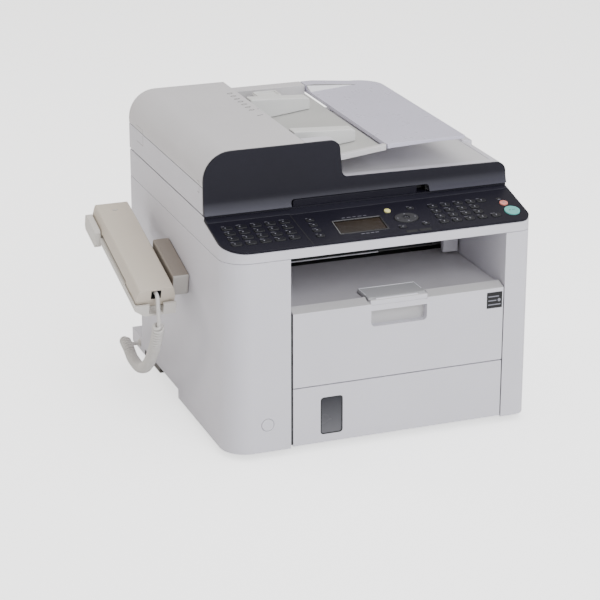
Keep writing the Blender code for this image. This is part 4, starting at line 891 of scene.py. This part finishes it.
def panel_lines(matrix, half, length):
    """The dividing groove of the panel, its raised back strip and its lamps."""
    line = [(-0.0877, 0.0006), (-0.0869, 0.0006), (-0.0916, 0.069), (-0.0924, 0.069)]
    fit(prism("panel_divider", line, "Z", -0.0005, 0.00015, matrix), "black_and_painted_shade", "scanner", width=0.0001)
    back = rounded([(-half + 0.0006, 0.0705, 0), (-0.095, 0.0705, 0.002), (-0.09, 0.069, 0.002),
                    (half - 0.0006, 0.0725, 0.001), (half - 0.0006, length - 0.0006, 0.0),
                    (-half + 0.0006, length - 0.0006, 0.0)], 4)
    back = prism("panel_back_strip", back, "Z", -0.0004, 0.0006, matrix)
    fit(back, "charcoal_back", "scanner", width=0.0004, segments=2)
    for name, look, rect, radius in (("status_lamp_0", "black_and_painted_shade", (0.031, 0.0455, 0.0012, 0.006), 0.0006),
                                     ("status_lamp_1", "black_and_painted_shade", (0.048, 0.063, 0.0012, 0.006), 0.0006),
                                     ("memory_lamp", "bezel", (0.1688, 0.1748, 0.0512, 0.0538), 0.0012)):
        fit(prism(name, soft_rectangle(*rect, radius), "Z", -0.0004, 0.0003, matrix), look, "scanner", width=0.0002)


def scanner():
    refine("scanner_housing", "casing", 0.0009, 3)
    for node, look, width in (("platen_frame", "charcoal", 0.0003), ("platen_glass", "glass", 0.0002),
                              ("carriage_rod", "steel", 0.0002), ("scan_carriage", "black", 0.0006)):
        refine(node, look, width, 1)
    painted_highlight = block("ledge_strip", (-0.1946, 0.1946), (-0.1145, -0.1062), (0.2806, 0.28345))
    fit(painted_highlight, "charcoal", "scanner", width=0.0002)
    front = box("lid_fascia")[0].y
    tab = rounded([(-0.0835, 0.2795, 0), (-0.0835, 0.2922, 0.0045), (0.077, 0.2922, 0.002), (0.077, 0.2795, 0)], 6)
    tab = prism("finger_tab", tab, "Y", front + 0.0005, front + 0.0062)
    fit(tab, "charcoal", "scanner", width=0.0012, segments=3)
    panel()


# ---------------------------------------------------------------- lid and feeder

def flared_fascia():
    """The dark front of the lid. Its lower edge flares forward, except at the finger hold."""
    low, high = box("lid_fascia")
    solid = scored(copy_of("lid_fascia"), "Z", [low.z + 0.0005 + FLARE * step / 8 for step in range(9)])
    middle = (low.y + high.y) / 2
    for vert in solid.data.vertices:
        share = (low.z + FLARE - vert.co.z) / FLARE
        if share > 0:
            vert.co.y -= (0.0042 if vert.co.y < middle else 0.0012) * share ** 2.2
    fit(solid, "fascia", "lid", "lid_fascia", width=0.0009, segments=3)
    front = (-0.10952, -0.10934)
    # Painted shade: near-black plates line the finger hold's recess and its opening in the fascia.
    shade_plates = [block("shade_plates", *spans) for spans in (
        ((-0.0838, 0.0898), (-0.0999, -0.0994), (0.2852, 0.2928)),
        ((-0.0838, 0.0898), (-0.109, -0.0994), (0.2924, 0.2929)),
        ((0.0893, 0.0898), (-0.109, -0.0994), (0.2852, 0.2928)),
        ((-0.088, -0.0838), front, (0.2852, 0.295)), ((0.0895, 0.094), front, (0.2852, 0.295)),
        ((-0.0838, 0.0895), front, (0.2929, 0.295)))]
    fit(joined("finger_hold_shade_plates", shade_plates), "black_and_painted_shade", "lid")


def lid():
    flared_fascia()
    low, high = box("lid_base")
    recess = [(-0.013, 0.3085), (0.18, 0.31), (0.182, 0.33), (-0.0145, 0.33)]
    basin = prism("basin", recess, "Y", low.y + 0.0105, high.y - 0.012)
    step = prism("right_step", rounded([(0.1812, 0.307, 0), (0.1812, 0.3124, 0.0006), (0.1944, 0.3118, 0.002),
                                        (0.1944, 0.302, 0)], 3), "Y", -0.015, high.y - 0.0006)
    refine("lid_base", "casing", 0.0009, 2, cuts=(basin,), adds=(step,))
    sheet = [(-0.0128, 0.3083), (0.1798, 0.3098), (0.1798, 0.3102), (-0.0128, 0.3087)]
    sheet = prism("output_floor", sheet, "Y", low.y + 0.0107, high.y - 0.0122)
    fit(sheet, "output_floor", "lid")
    refine("platen_pad", "pad", 0.0006, 2)


def cover_signs(low, high):
    """The generic signs of the feeder cover: a row of tilted rings, a bar and a dot."""
    bm = bmesh.new()
    tilt = math.radians(25)
    for index in range(7):
        outlines = [swung(drawn_in((-0.004, 0.004, -0.0024, 0.0024), margin, 0.0022 - margin, 4), tilt,
                          -0.0775, 0.05 + 0.014 * index) for margin in (0.0, 0.0011)]
        ring_mark(bm, *outlines, low, high)
    plate(bm, [(-0.08, 0.0215), (-0.0712, 0.0243), (-0.0715, 0.0256), (-0.0803, 0.0228)], low, high)
    plate(bm, circle(-0.0685, 0.052, 0.0009, 16), low, high)
    return link("cover_signs", bm)


def feeder():
    low, high = box("adf_cover")
    fit(cover_signs(high.z - SIGN_DEPTH, high.z - 0.00002), "mark", "feeder_cover")
    refine("adf_cover", "casing_warm", 0.0007, 3, cuts=(cover_signs(high.z - SIGN_DEPTH, high.z + 0.001),))
    side = low.x
    for name, body, spans in (
            ("lid", "lid", [((-0.098, -0.0974), (0.3085, 0.3166)), ((-0.0972, -0.0915), (0.3085, 0.3091)),
                            ((0.1315, 0.1321), (0.3025, 0.3166)), ((0.1321, 0.159), (0.3025, 0.303))]),
            ("cover", "feeder_cover", [((-0.098, -0.0974), (0.3188, 0.323)), ((-0.0972, -0.0915), (0.3224, 0.323)),
                                       ((0.1315, 0.1321), (0.3188, 0.324)),
                                       ((0.1321, 0.159), (0.3235, 0.324))])):
        lines = [block("line", (side - 0.0001, side + 0.0008), *span) for span in spans]
        fit(joined(name + "_side_lines", lines), "seam", body)
    tray()


def tray():
    low, high = box("input_tray")
    solid = refine("input_tray", "casing_warm", 0.0007, 2)
    # Painted shade: the recessed floor of the tray between its rims is given a darker grey.
    tint(solid, "tray_floor_painted_shade", lambda centre, normal: normal.z > 0.9 and centre.z < 0.3425
         and low.y + 0.007 < centre.y < 0.172)
    for node in ("front_guide", "rear_guide"):
        refine(node, "guide", 0.0014, 3)
    edge = box("rear_guide")[1].y
    grip = prism("guide_grip", soft_rectangle(-0.043, -0.01, edge - 0.002, edge + 0.0275, 0.004), "Z",
                 high.z + 0.0002, high.z + 0.0024)
    fit(grip, "guide", "guide_rear", width=0.0006, segments=2)
    brim = bmesh.new()
    rect = (-0.042, -0.011, edge + 0.001, edge + 0.0265)
    ring_mark(brim, drawn_in(rect, 0.0, 0.0034), drawn_in(rect, 0.002, 0.002), high.z + 0.002, high.z + 0.004)
    fit(link("guide_grip_brim", brim), "guide", "guide_rear", width=0.0004, segments=2)
    # Painted shade: a near-black strip in the gap between the feeder cover's edge and the rim.
    gap = block("cover_gap", (-0.0662, -0.063), (0.1725, high.y - 0.0006), (high.z - 0.0004, high.z + 0.0002))
    fit(gap, "black_and_painted_shade", "lid", width=0.0001)
    refine("tray_extension", "lilac", 0.0008, 3)
    low, high = box("tray_extension")
    left, rim = low.x + 0.001, 0.1714
    # Painted highlight: a near-white wedge at the rear left stands for the lit inner wall of the extension's back
    # rim.
    bm = bmesh.new()
    for corner in ((left, 0.1555, 0.3456), (left, rim, 0.3506), (0.108, rim, 0.3458), (left, 0.1555, 0.3452),
                   (left, rim, 0.3452), (0.108, rim, 0.3452)):
        bm.verts.new(corner)
    bmesh.ops.convex_hull(bm, input=bm.verts)
    fit(link("extension_highlight_wedge", bm), "painted_highlight", "extension", width=0.0001)
    line = [(left, 0.3508), (low.x + 0.012, 0.3511), (0.11, 0.3457), (0.108, 0.3456), (left, 0.3505)]
    fit(prism("extension_line", line, "Y", 0.1705, 0.1717), "seam", "extension")


# ---------------------------------------------------------------- handset

def handset_frame():
    matrix = frame_from(HANDSET_UP)
    low, high = local_box("handset", matrix)
    return matrix @ Matrix.Translation(((low.x + high.x) / 2, (low.y + high.y) / 2, high.z))


def handset():
    matrix = handset_frame()
    low, high = local_box("handset", matrix)
    half, length = high.x, high.y
    lower = [(-length, -0.0085), (-length + 0.0015, -0.02), (-length + 0.004, low.z), (-0.059, low.z),
             (-0.053, -0.018)]
    lower += [(-y, z) for y, z in reversed(lower)]
    stations = sorted({-length, -length + 0.0012, -length + 0.003, *(p[0] for p in lower), length - 0.0012,
                       *(-length + 2 * length * i / 24 for i in range(25))})
    bottoms = np.interp(stations, [p[0] for p in lower], [p[1] for p in lower])
    bm = bmesh.new()
    rings = []
    for y, bottom in zip(stations, bottoms):
        crown = -0.0012 * (abs(y) / length) ** 6
        band = max(-0.015, bottom + 0.0027)
        edge = half - 0.0031 * (1 - (band + 0.0009) / -0.0141)
        section = [(half - 0.0042, crown), (half - 0.0031, crown - 0.0009), (edge, band), (edge, bottom + 0.0024),
                   (edge - 0.0022, bottom)]
        section += [(-x, z) for x, z in reversed(section)]
        rings.append([bm.verts.new((x, y, z)) for x, z in section])
    skin(bm, rings)
    solid = link("handset_shell", bm, matrix)
    jack = block("jack", (-0.0062, 0.0062), (-length - 0.01, -length + 0.01), (-0.0148, -0.0034), matrix)
    carve(solid, "DIFFERENCE", jack)
    soften(solid, 0.0006, 3, math.radians(24))
    place_piece(solid, "beige", "receiver", "handset")
    # Painted shade: near-black plates line the inside of the jack.
    shade_plates = [block("shade_plates", u, (-length + near, -length + 0.0099), w, matrix) for u, near, w in (
        ((-0.0061, 0.0061), 0.009, (-0.0147, -0.0035)), ((-0.0062, -0.006), 0.0004, (-0.0147, -0.0035)),
        ((0.006, 0.0062), 0.0004, (-0.0147, -0.0035)), ((-0.0061, 0.0061), 0.0004, (-0.0148, -0.0146)))]
    fit(joined("jack_shade_plates", shade_plates), "black_and_painted_shade", "receiver")
    inlay = [(x, length - back) for x, back in ((-0.0042, 0.0165), (-0.0028, 0.0186), (0.0, 0.0194),
                                                (0.0028, 0.0186), (0.0042, 0.0165), (0.0, 0.0178))]
    fit(prism("crescent_inlay", inlay, "Z", -0.0008, 0.00005, matrix), "taupe_inlay_and_painted_lit_front", "receiver")

    refine("handset_cradle", "white", 0.0022, 3)
    # Painted light: the bracket's front faces get a lighter taupe than its top, as if lit from the front.
    tint(refine("handset_bracket", "taupe", 0.003, 4), "taupe_inlay_and_painted_lit_front", lambda centre, normal: normal.y < -0.6)
    refine("hook_switch", "black", 0.0003, 1)
    cord(matrix, length)


def smooth_path(points, count):
    """Catmull-Rom samples at equal distances through the points."""
    points = [Vector(p) for p in points]
    dense = []
    padded = [points[0] * 2 - points[1], *points, points[-1] * 2 - points[-2]]
    for a, b, c, d in zip(padded, padded[1:], padded[2:], padded[3:]):
        for step in range(30):
            t = step / 30
            dense.append(0.5 * ((2 * b) + (c - a) * t + (2 * a - 5 * b + 4 * c - d) * t ** 2
                                + (3 * b - a - 3 * c + d) * t ** 3))
    dense.append(points[-1])
    lengths = np.cumsum([0.0] + [(q - p).length for p, q in zip(dense, dense[1:])])
    coordinates = np.array(dense)
    wanted = np.linspace(0, lengths[-1], count)
    return [Vector([np.interp(w, lengths, coordinates[:, k]) for k in range(3)]) for w in wanted], lengths[-1]


def stations_along(path):
    """Each point of a path, with two unit vectors across it that turn as little as they can."""
    side = Vector((1.0, 0.0, 0.0))
    for index, centre in enumerate(path):
        along = (path[min(index + 1, len(path) - 1)] - path[max(index - 1, 0)]).normalized()
        side = (side - along * side.dot(along)).normalized()
        yield centre, side, along.cross(side)


def cord(matrix, length):
    """A straight lead from the jack, the coil down and round, and the lead into the rear housing."""
    jack = matrix @ Vector((0.0, -length + 0.008, -0.009))
    mouth = matrix @ Vector((0.0, -length - 0.0044, -0.009))
    way = [jack, mouth, *(Vector(p) for p in (
        (-0.2415, -0.0745, 0.158), (-0.2405, -0.0735, 0.144), (-0.24, -0.07, 0.138), (-0.238, -0.05, 0.109),
        (-0.236, -0.022, 0.079), (-0.233, 0.0137, 0.0525), (-0.231, 0.05, 0.038), (-0.229, 0.086, 0.035),
        (-0.2275, 0.11, 0.04), (-0.226, 0.133, 0.0432), (-0.224, 0.142, 0.042), (-0.213, 0.162, 0.028),
        (-0.203, 0.176, 0.019), (-0.193, 0.179, 0.018)))]
    count = 4200
    path, total = smooth_path(way, count)
    reach = [(p - way[4]).length for p in path]
    far_end = [(p - way[11]).length for p in path]
    step = total / (count - 1)
    coil_start, coil_end = step * int(np.argmin(reach)), step * int(np.argmin(far_end))
    points, radii, angle = [], [], 0.0
    for index, (centre, side, up) in enumerate(stations_along(path)):
        distance = index * step
        share = min(max((distance - coil_start) / COIL_RAMP, 0.0), max((coil_end - distance) / COIL_RAMP, 0.0), 1.0)
        angle += 2 * math.pi * step / COIL_PITCH
        points.append(centre + (side * math.cos(angle) + up * math.sin(angle)) * COIL_RADIUS * share)
        radii.append(LEAD_RADIUS + (COIL_WIRE - LEAD_RADIUS) * share)
    bm = bmesh.new()
    skin(bm, [[bm.verts.new(centre + side * u + up * v) for u, v in circle(0, 0, radius, 8)]
              for (centre, side, up), radius in zip(stations_along(points[::2]), radii[::2])])
    core = link("handset_cord", bm)
    core.data.shade_smooth()
    place_piece(core, "cord", None, "coiled_cord")
    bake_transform(core)


# ---------------------------------------------------------------- studio

def area_light(name, place, target, size, power, colour):
    light = bpy.data.lights.new(name, "AREA")
    light.shape = "RECTANGLE"
    light.size, light.size_y = size
    light.energy = power
    light.color = colour
    lamp = bpy.data.objects.new(name, light)
    lamp.location = place
    lamp.rotation_euler = (Vector(target) - Vector(place)).to_track_quat("-Z", "Y").to_euler()
    bpy.context.scene.collection.objects.link(lamp)


def studio():
    graph = Graph("studio_floor")
    seen = graph.add("ShaderNodeLightPath").outputs["Is Camera Ray"]
    graph.feed(Base_Color=graph.mix(graph.noise(3.0), (0.9, 0.9, 0.9, 1.0), (0.92, 0.92, 0.92, 1.0)),
               Roughness=0.8, Emission_Color=(1.0, 1.0, 1.0, 1.0),
               Emission_Strength=graph.remap(seen, 0.0, 1.0, 0.0, 1.6))
    bm = bmesh.new()
    bmesh.ops.create_grid(bm, x_segments=2, y_segments=2, size=9.0)
    floor = link("studio_floor", bm)
    floor.data.materials.append(graph.material)
    world = bpy.data.worlds.new("studio")
    world.use_nodes = True
    world.node_tree.nodes["Background"].inputs["Color"].default_value = (1.0, 0.972, 0.935, 1.0)
    world.node_tree.nodes["Background"].inputs["Strength"].default_value = 0.72
    bpy.context.scene.world = world
    middle = CASING + Vector((0.0, 0.0, 0.18))
    for name, place, size, power, colour in LAMPS:
        area_light(name, CASING + Vector(place), middle, size, power, colour)

    camera = bpy.data.cameras.new("camera")
    camera.sensor_width = 36.0
    camera.lens = LENS
    viewer = bpy.data.objects.new("camera", camera)
    viewer.location = CASING + Vector(CAMERA_PLACE)
    viewer.rotation_euler = (math.radians(CAMERA_TILT), 0.0, math.radians(CAMERA_TURN))
    bpy.context.scene.collection.objects.link(viewer)
    bpy.context.scene.camera = viewer


base()
front()
engine()
scanner()
lid()
feeder()
handset()
studio()

bpy.context.view_layer.update()
